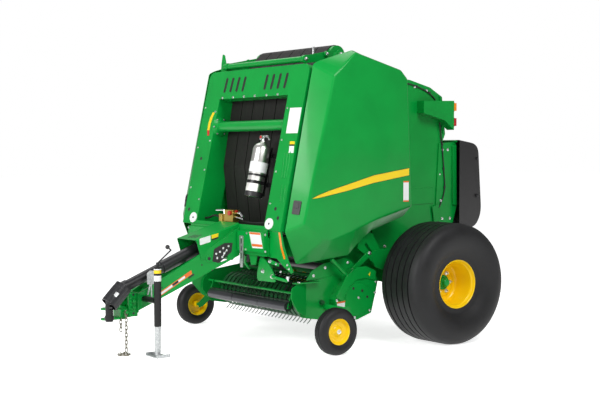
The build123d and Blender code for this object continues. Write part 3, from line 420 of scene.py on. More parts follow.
# The portal's leaning front: outlines are X and height, thickness is outwards
portal = {"foot": -1.019, "lean": math.radians(12.6)}
leanSin, leanCos = math.sin(portal["lean"]), math.cos(portal["lean"])
leanBase = Matrix.Translation(spot(0, portal["foot"], 0)) @ Matrix(
    ((1, 0, 0, 0), (0, leanSin, -leanCos, 0), (0, leanCos, leanSin, 0), (0, 0, 0, 1)))


def onPortal(x, z, out=0.0):
    return leanBase @ Vector((x, z / leanCos, out))


def portalPlate(bm, outline, thick, out=0.0, rounding=0.0):
    flat = [(x, z / leanCos) for x, z in outline]
    addPlate(bm, flat, thick, leanBase @ Matrix.Translation((0, 0, out)), rounding)


# A frame on any face: X along the face, Z out of it
def facetFrame(origin, along, out):
    out = Vector(out).normalized()
    along = Vector(along)
    along = (along - out * along.dot(out)).normalized()
    up = out.cross(along)
    return Matrix.Translation(origin) @ Matrix((along, up, out)).transposed().to_4x4()


def rectangle(x0, x1, y0, y1):
    return ((x0, y0), (x1, y0), (x1, y1), (x0, y1))


# Floor and light; a lamp is its name, place, aim, size and watts
studio = {
    "floorHex": "#F2F2F1", "floorHalf": 60.0, "worldGrey": 0.34, "paperGlow": 0.74,
    "lamps": (("keyLamp", (1.5, -8.5, 5.0), (0, 0, 1.2), (4.0, 3.0), 560),
              ("fillLamp", (8.5, -1.0, 8.5), (0, 0.3, 1.0), (5.0, 4.0), 620),
              ("topLamp", (-3.5, 1.0, 7.0), (0, 0, 1.0), (5.0, 5.0), 120)),
}


def addLamp(name, place, aim, size, watts):
    data = bpy.data.lights.new(name, "AREA")
    data.shape = "RECTANGLE"
    data.size, data.size_y = size
    data.energy = watts
    made = bpy.data.objects.new(name, data)
    made.location = place
    made.rotation_euler = (Vector(aim) - Vector(place)).to_track_quat("-Z", "Y").to_euler()
    bpy.context.scene.collection.objects.link(made)


# Matt white paper; seen by the camera or in a mirror it glows enough to read as white outside a shadow
def studioPaper(name, hexColour):
    made, tree, bsdf, place = startMaterial(name, hexColour, {
        "Roughness": 0.9, "Specular IOR Level": 0.1, "Emission Color": (1, 1, 1, 1)})
    rays = addNode(tree, "ShaderNodeLightPath")
    seen = addNode(tree, "ShaderNodeMath", {"operation": "MAXIMUM"},
                   {0: rays.outputs["Is Camera Ray"], 1: rays.outputs["Is Glossy Ray"]})
    glow = addNode(tree, "ShaderNodeMath", {"operation": "MULTIPLY", 1: studio["paperGlow"]},
                   {0: seen.outputs[0]})
    fibre = addNode(tree, "ShaderNodeTexNoise", {"Scale": 300.0}, {"Vector": place})
    bump = addNode(tree, "ShaderNodeBump", {"Strength": 0.02}, {"Height": fibre.outputs["Fac"]})
    setNode(tree, bsdf, links={"Emission Strength": glow.outputs[0], "Normal": bump.outputs["Normal"]})
    return made


def buildStudio():
    bm = bmesh.new()
    bmesh.ops.create_grid(bm, x_segments=1, y_segments=1, size=studio["floorHalf"])
    mesh = bpy.data.meshes.new("floor")
    bm.to_mesh(mesh)
    bm.free()
    mesh.materials.append(studioPaper("studioPaper", studio["floorHex"]))
    floor = bpy.data.objects.new("floor", mesh)
    bpy.context.scene.collection.objects.link(floor)
    for row in studio["lamps"]:
        addLamp(*row)
    world = bpy.data.worlds.new("studio")
    bpy.context.scene.world = world
    world.use_nodes = True
    tree = world.node_tree
    tree.nodes.clear()
    rays = addNode(tree, "ShaderNodeLightPath")
    direct = addNode(tree, "ShaderNodeMath", {"operation": "MAXIMUM"},
                     {0: rays.outputs["Is Camera Ray"], 1: rays.outputs["Is Transmission Ray"]})
    soft = addNode(tree, "ShaderNodeBackground", {"Color": (1, 1, 1, 1), "Strength": studio["worldGrey"]})
    white = addNode(tree, "ShaderNodeBackground", {"Color": (1, 1, 1, 1), "Strength": 1.0})
    mix = addNode(tree, "ShaderNodeMixShader", {},
                  {0: direct.outputs[0], 1: soft.outputs[0], 2: white.outputs[0]})
    addNode(tree, "ShaderNodeOutputWorld", {}, {"Surface": mix.outputs[0]})
    bpy.context.scene.view_settings.view_transform = "Standard"


buildStudio()
print("studio lit")

# Tyres: half sections as offset from the middle and radius, spun about the axle
mainTyre = {
    "x": 1.099, "y": 0.654, "radius": 0.512, "steps": 120,
    "side": ((0.186, 0.205), (0.19, 0.222), (0.187, 0.245), (0.196, 0.262), (0.222, 0.3), (0.238, 0.342),
             (0.245, 0.39), (0.243, 0.43), (0.232, 0.466), (0.212, 0.492), (0.188, 0.505)),
    "crown": 0.512, "grooves": (0.0, 0.07, 0.14), "grooveHalf": 0.007, "grooveDepth": 0.016,
}
gaugeTyre = {
    "x": 1.087, "y": -0.478, "radius": 0.19, "steps": 72,
    "side": ((0.045, 0.106), (0.048, 0.114), (0.054, 0.126), (0.058, 0.142), (0.057, 0.158), (0.052, 0.171),
             (0.044, 0.18)),
    "crown": 0.19, "grooves": (0.0, 0.022), "grooveHalf": 0.0035, "grooveDepth": 0.006,
}


def tyreSection(tyre):
    right = list(tyre["side"])
    half, top, low = tyre["grooveHalf"], tyre["crown"], tyre["crown"] - tyre["grooveDepth"]
    foot = half * 0.6
    for place in sorted(tyre["grooves"], reverse=True):
        if place:
            right += [(place + half, top), (place + foot, low), (place - foot, low), (place - half, top)]
        else:
            right += [(half, top), (foot, low)]
    return right + [(-x, r) for x, r in reversed(right)]


def wheelPlace(wheel, side):
    middle = spot(side * wheel["x"], wheel["y"], wheel["radius"])
    return Matrix.Translation(middle) @ Matrix.Diagonal((side, 1, 1, 1))


sides = ((1, "Left"), (-1, "Right"))
for side, word in sides:
    for kind, tyre in (("main", mainTyre), ("gauge", gaugeTyre)):
        piece(kind + "Tyre" + word, rubberTyre, [(addTurned, tyreSection(tyre), tyre["steps"])],
              [kind + "_tyre_" + word.lower()], kind + "_wheel_" + word.lower(), place=wheelPlace(tyre, side),
              smooth=50)
print("tyres made")

# Side shields: the edge and the flat face bridged, their folds rounded, then made hollow
shield = {
    "edgeX": 0.8, "faceX": 0.95, "sheet": 0.005, "fold": 0.016,
    "corners": (  # y and z of the edge, y and z of the flat face
        (-0.495, 2.33, -0.386, 2.23), (-0.444, 2.356, -0.325, 2.284), (-0.094, 2.462, -0.181, 2.431),
        (0.34, 2.32, 0.316, 2.305), (0.42, 2.248, 0.388, 2.233), (0.48, 1.072, 0.439, 1.162),
        (0.11, 0.958, 0.034, 1.057), (-0.026, 0.859, -0.157, 0.989), (-0.132, 0.764, -0.19, 0.978),
        (-0.423, 0.733, -0.414, 0.91), (-0.665, 0.714, -0.505, 0.914), (-0.773, 0.981, -0.694, 1.041)),
    "stripeTop": ((-0.614, 1.247), (-0.556, 1.272), (-0.435, 1.309), (-0.261, 1.353), (0.02, 1.426),
                  (0.249, 1.46), (0.404, 1.482)),
    "stripeLow": ((0.404, 1.424), (0.02, 1.365), (-0.261, 1.304), (-0.536, 1.255)),
    "label": (0.342, 0.402, 1.2, 1.375),
    "labelBar": 0.012,
    "latch": {"centre": (0.866, -0.703, 1.176), "half": (0.036, 0.056), "out": (0.0899, -0.2024, 0.0417)},
    "stripes": (("shieldStripeEdge", vinylBlack, 0.0035, 0.0003), ("shieldStripe", vinylYellow, 0.0, 0.0006)),
}


def roundFolds(bm, edges, width):
    bmesh.ops.bevel(bm, geom=edges, offset=width, offset_type="OFFSET", segments=4, profile=0.5, affect="EDGES",
                    material=-1, clamp_overlap=True)
    bmesh.ops.recalc_face_normals(bm, faces=bm.faces)


def addShield(bm):
    loops = []
    for x, first in ((shield["edgeX"], 0), (shield["faceX"], 2)):
        verts = [bm.verts.new(spot(x, *corner[first:first + 2])) for corner in shield["corners"]]
        loops.append(closedLoop(bm, verts))
    bmesh.ops.bridge_loops(bm, edges=loops[0] + loops[1])
    bmesh.ops.contextual_create(bm, geom=loops[1])
    ridges = [edge for edge in bm.edges if edge not in loops[0] and edge not in loops[1]]
    roundFolds(bm, loops[1] + ridges, shield["fold"])
    if sum(face.normal.x * face.calc_area() for face in bm.faces) < 0:
        bmesh.ops.reverse_faces(bm, faces=bm.faces)
    bmesh.ops.solidify(bm, geom=bm.verts[:] + bm.edges[:] + bm.faces[:], thickness=shield["sheet"])


def buildShield(side, word):
    body = "shield_" + word.lower()
    own = {"body": body, "slotName": "green_paint", "side": side}
    piece("shieldPanel" + word, enamelGreen, [(addShield,)], [body], smooth=32, **own)
    wide, high = shield["latch"]["half"]
    place = facetFrame(spot(*shield["latch"]["centre"]), outward, shield["latch"]["out"])
    piece("shieldLatch" + word, polyBlack,
          [(addPlate, rectangle(-wide, wide, -high, high), 0.007, place, 0.008),
           (addPlate, rectangle(-wide * 0.55, wide * 0.55, -high * 0.1, high * 0.75), 0.011, place, 0.006)],
          bevel=0.0015, **own)
    for name, material, grow, out in shield["stripes"]:
        outline = [(y, z + grow) for y, z in shield["stripeTop"]]
        outline += [(y, z - grow) for y, z in shield["stripeLow"]]
        piece(name + word, material, [(sidePlate, shield["faceX"] + out, outline, thinFilm)], **own)
    y0, y1, z0, z1 = shield["label"]
    piece("shieldLabel" + word, vinylWhite,
          [(sidePlate, shield["faceX"] + 0.0002, rectangle(y0, y1, z0, z1), film, 0.003)], **own)
    piece("shieldLabelEdge" + word, vinylOrange,
          [(sidePlate, shield["faceX"] + 0.0008, rectangle(y0, y1, low, high), 0.0003)
           for low, high in ((z0, z0 + shield["labelBar"]), (z1 - shield["labelBar"], z1))], **own)


for side, word in sides:
    buildShield(side, word)
print("shields made")

# Hoses and the tailgate's harness: the points are the route's, at the solids' places
cords = (
    ("hoseLeft", "hoses", "chassis", "hose_rubber", 0.018, "stiff", (
        (0.0, -0.709, 1.028), (0.08, -0.709, 1.028), (0.22, -0.703, 1.02), (0.4, -0.699, 1.028),
        (0.4697, -0.699, 1.038), (0.5297, -0.699, 1.038))),
    ("hoseRight", "hoses", "chassis", "hose_rubber", 0.018, "stiff", (
        (-0.15, -0.709, 1.028), (-0.22, -0.709, 1.028), (-0.32, -0.703, 1.062), (-0.4, -0.703, 1.062),
        (-0.47, -0.703, 1.034), (-0.5297, -0.703, 1.034))),
    ("harnessUpper", "wiring_harness", "tailgate", "hose_rubber", 0.012, "stiff", (
        (0.6163, 0.45, 2.252), (0.6163, 0.7, 2.225), (0.6163, 0.95, 2.14), (0.6163, 1.0, 2.085))),
    ("harnessLower", "wiring_harness", "tailgate", "hose_rubber", 0.012, "stiff", (
        (0.6266, 1.046, 1.884), (0.6266, 1.076, 1.682), (0.6266, 1.095, 1.502), (0.6266, 1.122, 1.231),
        (0.6266, 1.04, 1.12))),
)


def splineLength(data):
    line = bpy.data.objects.new("measure", data)
    bpy.context.scene.collection.objects.link(line)
    depth, data.bevel_depth = data.bevel_depth, 0.0
    mesh = bpy.data.meshes.new_from_object(line.evaluated_get(bpy.context.evaluated_depsgraph_get()))
    data.bevel_depth = depth
    places = [vert.co for vert in mesh.vertices]
    bpy.data.objects.remove(line)
    bpy.data.meshes.remove(mesh)
    return sum((b - a).length for a, b in zip(places, places[1:]))


def buildCord(name, node, body, slotName, diameter, stiffness, points):
    data = bpy.data.curves.new(name, "CURVE")
    data.dimensions = "3D"
    line = data.splines.new("NURBS")
    line.points.add(len(points) - 1)
    for knot, point in zip(line.points, points):
        knot.co = (*spot(*point), 1)
    line.order_u = 3
    line.use_endpoint_u = True
    line.resolution_u = 12
    data.bevel_depth = diameter / 2
    data.bevel_resolution = 4
    data.use_fill_caps = True
    data.materials.append(hoseBlack)
    made = bpy.data.objects.new(name, data)
    length = splineLength(data)
    bpy.context.scene.collection.objects.link(made)
    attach(made, body)
    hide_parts(node)


for row in cords:
    buildCord(*row)
print("cords laid")

# Wheels: rim sections as offset from the tyre's middle and radius
mainRim = ((-0.188, 0.2047), (0.188, 0.2047), (0.19, 0.201), (0.186, 0.1965), (0.176, 0.1945), (0.166, 0.19),
           (0.158, 0.182), (0.146, 0.1795), (0.12, 0.1785), (0.1, 0.1745), (0.06, 0.1735), (0.012, 0.1715),
           (-0.004, 0.166), (-0.012, 0.156), (-0.014, 0.132), (-0.009, 0.124), (-0.002, 0.114), (0.0, 0.108),
           (0.0, 0.0623), (-0.023, 0.0623), (-0.023, 0.168), (-0.11, 0.172), (-0.15, 0.182), (-0.18, 0.1955),
           (-0.188, 0.2))
gaugeRim = ((-0.046, 0.1057), (0.046, 0.1057), (0.047, 0.101), (0.043, 0.0975), (0.03, 0.094), (0.02, 0.088),
            (0.016, 0.083), (0.015, 0.062), (0.019, 0.058), (0.019, 0.05), (0.016, 0.045), (0.022, 0.036),
            (0.032, 0.029), (0.035, 0.02), (0.036, 0.0005), (0.026, 0.0005), (0.026, 0.0133), (-0.046, 0.0133),
            (-0.046, 0.026), (0.002, 0.034), (0.002, 0.0817), (-0.046, 0.0977))
wheelBolts = {"count": 6, "circle": 0.088, "face": 0.0, "size": 0.024, "stud": 0.006, "studLong": 0.026}
hubCap = ((0.0003, 0.0622), (0.012, 0.0622), (0.014, 0.06), (0.016, 0.044), (0.03, 0.041), (0.034, 0.034),
          (0.056, 0.031), (0.062, 0.024), (0.064, 0.0005), (0.0003, 0.0005))
gaugeNut = {"face": 0.036, "size": 0.026, "end": 0.06, "radius": 0.008}


# Places on a circle across the machine
def circleOf(x, y, z, radius, count):
    turns = [math.tau * number / count for number in range(count)]
    return [(x, y + radius * math.cos(turn), z + radius * math.sin(turn)) for turn in turns]


for side, word in sides:
    low = word.lower()
    onMain = {"body": "main_wheel_" + low, "place": wheelPlace(mainTyre, side)}
    onGauge = {"body": "gauge_wheel_" + low, "place": wheelPlace(gaugeTyre, side)}
    for kind, section, own in (("main", mainRim, onMain), ("gauge", gaugeRim, onGauge)):
        piece(kind + "Rim" + word, enamelYellow, [(addTurned, section, 96)], [kind + "_rim_" + low], smooth=30,
              **own)
    studs = circleOf(wheelBolts["face"], 0, 0, wheelBolts["circle"], wheelBolts["count"])
    piece("wheelBolts" + word, zincPlate, [(addBolt, at, outward, wheelBolts["size"]) for at in studs]
          + [(addRod, at, (at[0] + wheelBolts["studLong"], *at[1:]), wheelBolts["stud"], 12) for at in studs],
          **onMain)
    piece("hubCap" + word, enamelGreen, [(addTurned, hubCap, 48)], smooth=30, **onMain)
    face = (gaugeNut["face"], 0, 0)
    piece("gaugeNut" + word, zincPlate, [
        (addBolt, face, outward, gaugeNut["size"]),
        (addRod, face, (gaugeNut["end"], 0, 0), gaugeNut["radius"], 16)], **onGauge)
print("wheels dressed")

# Portal: blank labels, bolts, raised ridges, plugs and the height scale
portalTrim = {
    "whiteLabels": (((0.596, 1.98), (0.758, 1.98), (0.764, 1.772), (0.602, 1.772)),
                    ((0.684, 1.668), (0.75, 1.668), (0.757, 1.612), (0.691, 1.612))),
    "yellowLabels": (((0.68, 1.706), (0.747, 1.706), (0.75, 1.682), (0.683, 1.682)),),
    "blackLabels": (((0.68, 1.682), (0.75, 1.682), (0.751, 1.67), (0.681, 1.67)),),
    "scale": ((-0.6, 1.975), (-0.566, 1.972), (-0.592, 1.925), (-0.603, 1.87), (-0.603, 1.815), (-0.59, 1.765),
              (-0.622, 1.765), (-0.64, 1.815), (-0.644, 1.87), (-0.632, 1.93)),
    "scaleMark": ((-0.603, 1.815), (-0.59, 1.765), (-0.622, 1.765), (-0.64, 1.815)),
    "ridges": ((0.64, 1.62, 0.658, 1.41), (0.676, 1.62, 0.694, 1.41), (0.712, 1.62, 0.728, 1.41),
               (0.69, 1.35, 0.702, 1.215), (0.734, 1.35, 0.744, 1.215)),
    "headerBolts": (-0.48, -0.307, -0.133, 0.036, 0.214, 0.381), "headerBoltZ": 2.1,
    "columnBolts": ((-0.56, 1.98), (-0.56, 1.72), (-0.56, 1.46), (-0.56, 1.2), (0.56, 1.98), (0.56, 1.72),
                    (0.56, 1.46), (0.56, 1.2), (-0.742, 2.02), (-0.742, 1.66), (-0.742, 1.3)),
    "plugs": ((0.705, 1.088), (-0.7, 1.105), (0.648, 1.16), (-0.655, 1.56)),
    "headerBolt": 0.016, "columnBolt": 0.012, "ridge": 0.005, "filmOut": 0.0003,
    "pins": (0.598, 1.037, 0.0043, 0.007),
}


def addRidge(bm, x0, z0, x1, z1):
    start, end = onPortal(x0, z0), onPortal(x1, z1)
    addRod(bm, start, end, portalTrim["ridge"], 12)
    for ball in (start, end):
        addBall(bm, ball, portalTrim["ridge"], 6)


for name, material, outlines in (("portalLabelWhite", vinylWhite, portalTrim["whiteLabels"]),
                                 ("portalLabelYellow", vinylYellow, portalTrim["yellowLabels"]),
                                 ("portalLabelBlack", vinylBlack, portalTrim["blackLabels"]),
                                 ("heightScale", vinylYellow, [portalTrim["scale"]])):
    piece(name, material, [(portalPlate, outline, film, portalTrim["filmOut"]) for outline in outlines])
piece("heightScaleMark", vinylRed, [(portalPlate, portalTrim["scaleMark"], thinFilm, 0.0009)])
piece("columnRidges", enamelGreen, [(addRidge, *row) for row in portalTrim["ridges"]])
portalOut = (0, -leanCos, leanSin)
piece("portalBolts", zincPlate,
      [(addBolt, onPortal(x, portalTrim["headerBoltZ"]), portalOut, portalTrim["headerBolt"])
       for x in portalTrim["headerBolts"]]
      + [(addBolt, onPortal(x, z), portalOut, portalTrim["columnBolt"]) for x, z in portalTrim["columnBolts"]])
piece("portalPlugs", polyBlack, [(addRod, onPortal(x, z, -0.001), onPortal(x, z, 0.003), 0.017, 24, 0.014)
                                 for x, z in portalTrim["plugs"]])
x, z, low, high = portalTrim["pins"]
piece("reflectorPins", steelDark, [
    (addRod, onPortal(side * x, z, low), onPortal(side * x, z, high), 0.009, 16, 0.007) for side in (-1, 1)])

# Flared socket where the mouth tube meets the far column, and its weld ring at the near one
mouthTube = {"y": -0.547, "z": 1.844, "tube": 0.0475, "column": 0.4995, "end": 0.5285,
             "flares": ((-1, 0.088), (1, 0.058)), "boltCircle": 0.07, "boltX": -0.518, "bolt": 0.013}
tubeY, tubeZ = mouthTube["y"], mouthTube["z"]
piece("mouthTubeSockets", enamelGreen,
      [(rodAt, (side * mouthTube["column"], tubeY, tubeZ), (side * mouthTube["end"], tubeY, tubeZ),
        mouthTube["tube"], 40, flare) for side, flare in mouthTube["flares"]])
tubeBolts = circleOf(mouthTube["boltX"], tubeY, tubeZ, mouthTube["boltCircle"], 6)
piece("mouthTubeBolts", zincPlate, [(boltAt, at, outward, mouthTube["bolt"]) for at in tubeBolts])
print("portal trimmed")

# Fire extinguisher, along its own axis: heights are from its foot
can = {"x": 0.285, "low": 1.245, "high": 1.7, "radius": 0.075, "ahead": 0.005, "steps": 64}
canLow, canHigh = (spot(can["x"], portal["foot"] + z * math.tan(portal["lean"]) + can["ahead"], z)
                   for z in (can["low"], can["high"]))
onCan = {"place": facetFrame(canLow, outward, canHigh - canLow)}


def hoop(low, high, inner, outer):
    return (low, inner), (low, outer), (high, outer), (high, inner)


def aroundCan(*section):
    return addTurned, section, can["steps"], True


def buildExtinguisher(wide, top):
    piece("extinguisherCan", stainlessPolished, [aroundCan(
        (0.0, 0.0005), (0.0, wide - 0.008), (0.008, wide - 0.001), (top - 0.062, wide - 0.001),
        (top - 0.04, wide - 0.008), (top - 0.022, wide - 0.022), (top - 0.01, wide - 0.04),
        (top - 0.004, wide - 0.052), (top + 0.01, 0.021), (top + 0.01, 0.0005))],
        ["fire_extinguisher"], smooth=60, **onCan)
    piece("extinguisherFoot", polyBlack, [aroundCan(
        (0.0, wide - 0.012), (0.0, wide), (0.04, wide), (0.042, wide - 0.0005), (0.042, wide - 0.012))], **onCan)
    piece("extinguisherLabel", vinylWhite, [aroundCan(*hoop(0.205, 0.292, wide - 0.002, wide - 0.0003))], **onCan)
    piece("extinguisherBand", vinylBlack, [aroundCan(*hoop(0.172, 0.19, wide - 0.002, wide - 0.0004))], **onCan)
    piece("extinguisherValve", zincPlate, [
        (addRod, (0, 0, top + 0.01), (0, 0, top + 0.032), 0.017, 24),
        (addRod, (0, 0, top + 0.032), (0, 0, top + 0.048), 0.022, 6),
        (addBox, (-0.02, -0.011, top + 0.044), (0.062, 0.011, top + 0.058)),
        (addTube, ((0.01, 0, top + 0.052), (0.06, 0, top + 0.046), (0.088, 0, top + 0.02)), 0.007, 12),
        (addRod, (-0.02, 0, top + 0.04), (-0.046, 0, top + 0.03), 0.012, 16)], bevel=0.0015, **onCan)
    for name, material, near, far, radius in (("extinguisherGauge", zincPlate, -0.023, -0.036, 0.016),
                                              ("extinguisherDial", vinylRed, -0.0355, -0.0372, 0.0125)):
        ends = (0.004, near, top + 0.038), (0.004, far, top + 0.038)
        piece(name, material, [(addRod, *ends, radius, 24)], **onCan)
    piece("extinguisherBracket", enamelBlack, [
        aroundCan(*hoop(0.108, 0.134, wide + 0.0003, wide + 0.0035)),
        (addBox, (-0.096, -0.014, 0.106), (-0.074, 0.016, 0.136)),
        (addBox, (-0.04, wide + 0.001, 0.02), (0.04, wide + 0.009, 0.44)),
        (addBox, (0.0, wide + 0.008, 0.1), (0.2445, wide + 0.016, 0.14)),
        (addBox, (0.0, wide + 0.008, 0.35), (0.2445, wide + 0.016, 0.39))],
        ["extinguisher_bracket"], bevel=0.001, **onCan)


buildExtinguisher(can["radius"], (canHigh - canLow).length)
print("extinguisher made")

# Tongue: places on its left plate are the distance forward along the plate, and height
tongue = {"rearX": 0.185, "rearY": -0.8123, "frontX": 0.078, "frontY": -1.705, "sheet": 0.008}
tongueTurn = math.atan2(tongue["rearX"] - tongue["frontX"], tongue["rearY"] - tongue["frontY"])
tongueRun = Vector((-math.sin(tongueTurn), -math.cos(tongueTurn), 0))
tongueOut = Vector((math.cos(tongueTurn), -math.sin(tongueTurn), 0))
tongueBase = facetFrame(spot(tongue["rearX"], tongue["rearY"], 0) + tongueOut * tongue["sheet"], -tongueRun,
                        tongueOut)


def onTongue(along, z, out=0.0):
    return tongueBase @ Vector((-along, z, out))


def tonguePlate(bm, outline, thick, out=0.0, rounding=0.0):
    flat = [(-along, z) for along, z in outline]
    addPlate(bm, flat, thick, tongueBase @ Matrix.Translation((0, 0, out)), rounding)


tongueTrim = {
    "eye": (0.28, 0.738),
    "stripEdge": ((0.441, 0.65), (0.756, 0.462), (0.748, 0.43), (0.433, 0.618)),
    "stripWhite": ((0.5, 0.606), (0.748, 0.458), (0.743, 0.441), (0.495, 0.589)),
    "stripBlack": ((0.56, 0.572), (0.612, 0.541), (0.606, 0.524), (0.554, 0.555)),
    "slot": ((0.418, 0.622), (0.47, 0.59), (0.464, 0.578), (0.412, 0.61)),
    "holes": ((0.345, 0.688, 0.007), (0.25, 0.64, 0.006), (0.7, 0.52, 0.006), (0.845, 0.44, 0.008)),
    "window": ((0.235, 0.815), (0.25, 0.712), (0.19, 0.697), (0.074, 0.783), (0.062, 0.862), (0.141, 0.862)),
    "fittings": ((0.118, 0.8), (0.14, 0.778), (0.158, 0.745), (0.1, 0.835), (0.15, 0.82), (0.205, 0.74),
                 (0.215, 0.775), (0.18, 0.79)),
    "flangeTop": ((0.02, 0.975), (0.323, 0.794), (0.712, 0.581), (0.905, 0.48)),
    "flange": 0.026, "flangeThick": 0.004, "fitting": 0.013, "pipe": 0.004,
}


def addFlange(bm):
    points = [onTongue(along, z, -0.001) for along, z in tongueTrim["flangeTop"]]
    for start, end in zip(points, points[1:]):
        way = end - start
        over = tongueOut.cross(way)
        over *= math.copysign(1, over.z)
        plate = facetFrame(start, way, over)
        inward = math.copysign(tongueTrim["flange"], -(plate.col[1].xyz.dot(tongueOut)))
        addBox(bm, (-0.002, min(0, inward), -tongueTrim["flangeThick"]),
               (way.length + 0.002, max(0, inward), 0.0003), plate)


# The slot's black film is painted shade; the rest are label films
for name, outline, material, out in (("tongueStripEdge", "stripEdge", vinylOrange, 0.0002),
                                     ("tongueStrip", "stripWhite", vinylWhite, 0.0007),
                                     ("tongueStripBar", "stripBlack", vinylBlack, 0.0012),
                                     ("tongueSlotShade", "slot", polyBlack, 0.0002)):
    piece(name, material, [(tonguePlate, tongueTrim[outline], film, out, 0.002)])
# Black discs in the holes are painted shade
piece("tongueHoleShade", polyBlack, [(addRod, onTongue(along, z, -0.001), onTongue(along, z, 0.001), radius, 20)
                                 for along, z, radius in tongueTrim["holes"]])
# Painted shade: a black film fills the window's opening
piece("tongueWindowShade", polyBlack, [(tonguePlate, tongueTrim["window"], 0.0006, 0.0002, 0.008)])
fittings = tongueTrim["fittings"]
piece("tongueFittings", zincPlate,
      [(addBolt, onTongue(*place, 0.0006), tongueOut, tongueTrim["fitting"]) for place in fittings]
      + [(addRod, onTongue(*start, 0.004), onTongue(*end, 0.004), tongueTrim["pipe"], 12)
         for start, end in zip(fittings, fittings[1:3])])
for side, word in sides:
    piece("tongueFlange" + word, enamelGreen, [(addFlange,)], side=side)

# Hood: folded sheet with three slits at its front, the slits drawn as black films of painted shade, then the blank
# labels on its left side
hood = {"mouth": (0.0, -1.18, 0.785), "tilt": math.radians(17), "length": 0.44,
        "outline": ((-0.158, -0.06), (-0.158, 0.106), (-0.148, 0.116), (0.148, 0.116), (0.158, 0.106),
                    (0.158, -0.06), (0.154, -0.06), (0.154, 0.104), (0.146, 0.112), (-0.146, 0.112),
                    (-0.154, 0.104), (-0.154, -0.06)),
        "slits": ((0.03, 0.105, -0.02), (0.036, 0.111, 0.02), (0.042, 0.117, 0.06)), "slitHalf": 0.01,
        "roof": 0.1162, "labelX": 0.1583}
hoodBack = Vector((0, math.cos(hood["tilt"]), math.sin(hood["tilt"])))
hoodUp = Vector((0, -math.sin(hood["tilt"]), math.cos(hood["tilt"])))
rearPlace = facetFrame(spot(*hood["mouth"]) + hoodBack * hood["length"], (1, 0, 0), -hoodBack)
piece("hoodSheet", enamelGreen, [(addPlate, hood["outline"], hood["length"], rearPlace)], ["gearbox_hood"],
      bevel=0.001)
roofPlace = facetFrame(spot(*hood["mouth"]) + hoodUp * hood["roof"], hoodBack, hoodUp)
half = hood["slitHalf"]
# Painted shade: black films in the slits
piece("hoodSlitShade", polyBlack, [(addPlate, rectangle(low, high, -aside - half, -aside + half), 0.0006, roofPlace,
                                0.009) for low, high, aside in hood["slits"]])
for name, material, rounding, outline in (
        ("White", vinylWhite, 0.006, ((-1.183, 0.906), (-1.075, 0.93), (-1.075, 0.876), (-1.177, 0.852))),
        ("Yellow", vinylYellow, 0.0, ((-1.066, 0.932), (-1.0, 0.946), (-1.0, 0.916), (-1.064, 0.9))),
        ("Black", vinylBlack, 0.0, ((-1.064, 0.9), (-1.0, 0.916), (-1.0, 0.903), (-1.062, 0.886)))):
    piece("hoodLabel" + name, material, [(sidePlate, hood["labelX"], outline, film, rounding)])

# Front panel: blank sign, perforated strap on its bolt; the strap's slots are black films of painted shade
panel = {
    "y": -0.84, "bolt": 0.014, "strapBolt": (0.268, 0.911),
    "sign": ((0.38, 0.963), (0.548, 0.963), (0.584, 0.836), (0.43, 0.832)),
    "bars": (((0.386, 0.961), (0.546, 0.961), (0.55, 0.945), (0.392, 0.945)),
             ((0.422, 0.866), (0.574, 0.868), (0.579, 0.848), (0.427, 0.846))),
    "strap": ((0.236, 0.925), (0.3, 0.925), (0.288, 0.66), (0.252, 0.66)),
    "slots": ((0.88, 0.006), (0.82, 0.0055), (0.76, 0.0045)), "slotX": 0.269, "slotHigh": 0.022,
    "bolts": ((0.345, 0.95), (0.62, 0.95), (0.33, 0.815), (0.62, 0.815), (-0.3, 0.95), (-0.59, 0.95)),
}
panelY = panel["y"]
piece("panelSign", vinylWhite, [(frontPlate, panelY - 0.0003, panel["sign"], 0.001, 0.004)])
piece("panelSignBars", vinylOrange, [(frontPlate, panelY - 0.0015, bar, thinFilm) for bar in panel["bars"]])
piece("perforatedStrap", zincHotDip, [(frontPlate, panelY - 0.001, panel["strap"], 0.003, 0.008)])
x, high = panel["slotX"], panel["slotHigh"]
# Painted shade: black films in the strap's slots
piece("strapSlotShade", polyBlack, [
    (frontPlate, panelY - 0.0041, rectangle(x - half, x + half, z - high, z + high), film, half * 0.9)
    for z, half in panel["slots"]])
x, z = panel["strapBolt"]
piece("panelBolts", zincPlate, [(boltAt, (x, panelY - 0.004, z), ahead, panel["bolt"])]
      + [(boltAt, (x, panelY, z), ahead, panel["bolt"]) for x, z in panel["bolts"]])
print("tongue trimmed")

# Jack: painted tube with blank bands, dark steel crank, black knob
jack = {"x": 0.312, "top": 0.716, "low": 0.24, "tube": 0.029, "wall": 0.004, "steps": 48, "stubZ": 0.44,
        "stub": 0.024,
        "bands": (("jackBandWhite", vinylWhite, 0.6, 0.645), ("jackBandYellow", vinylYellow, 0.662, 0.688),
                  ("jackBandPale", vinylWhite, 0.69, 0.698))}
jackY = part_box("jack_leg")[0][1] / 2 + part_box("jack_leg")[1][1] / 2 - midShift


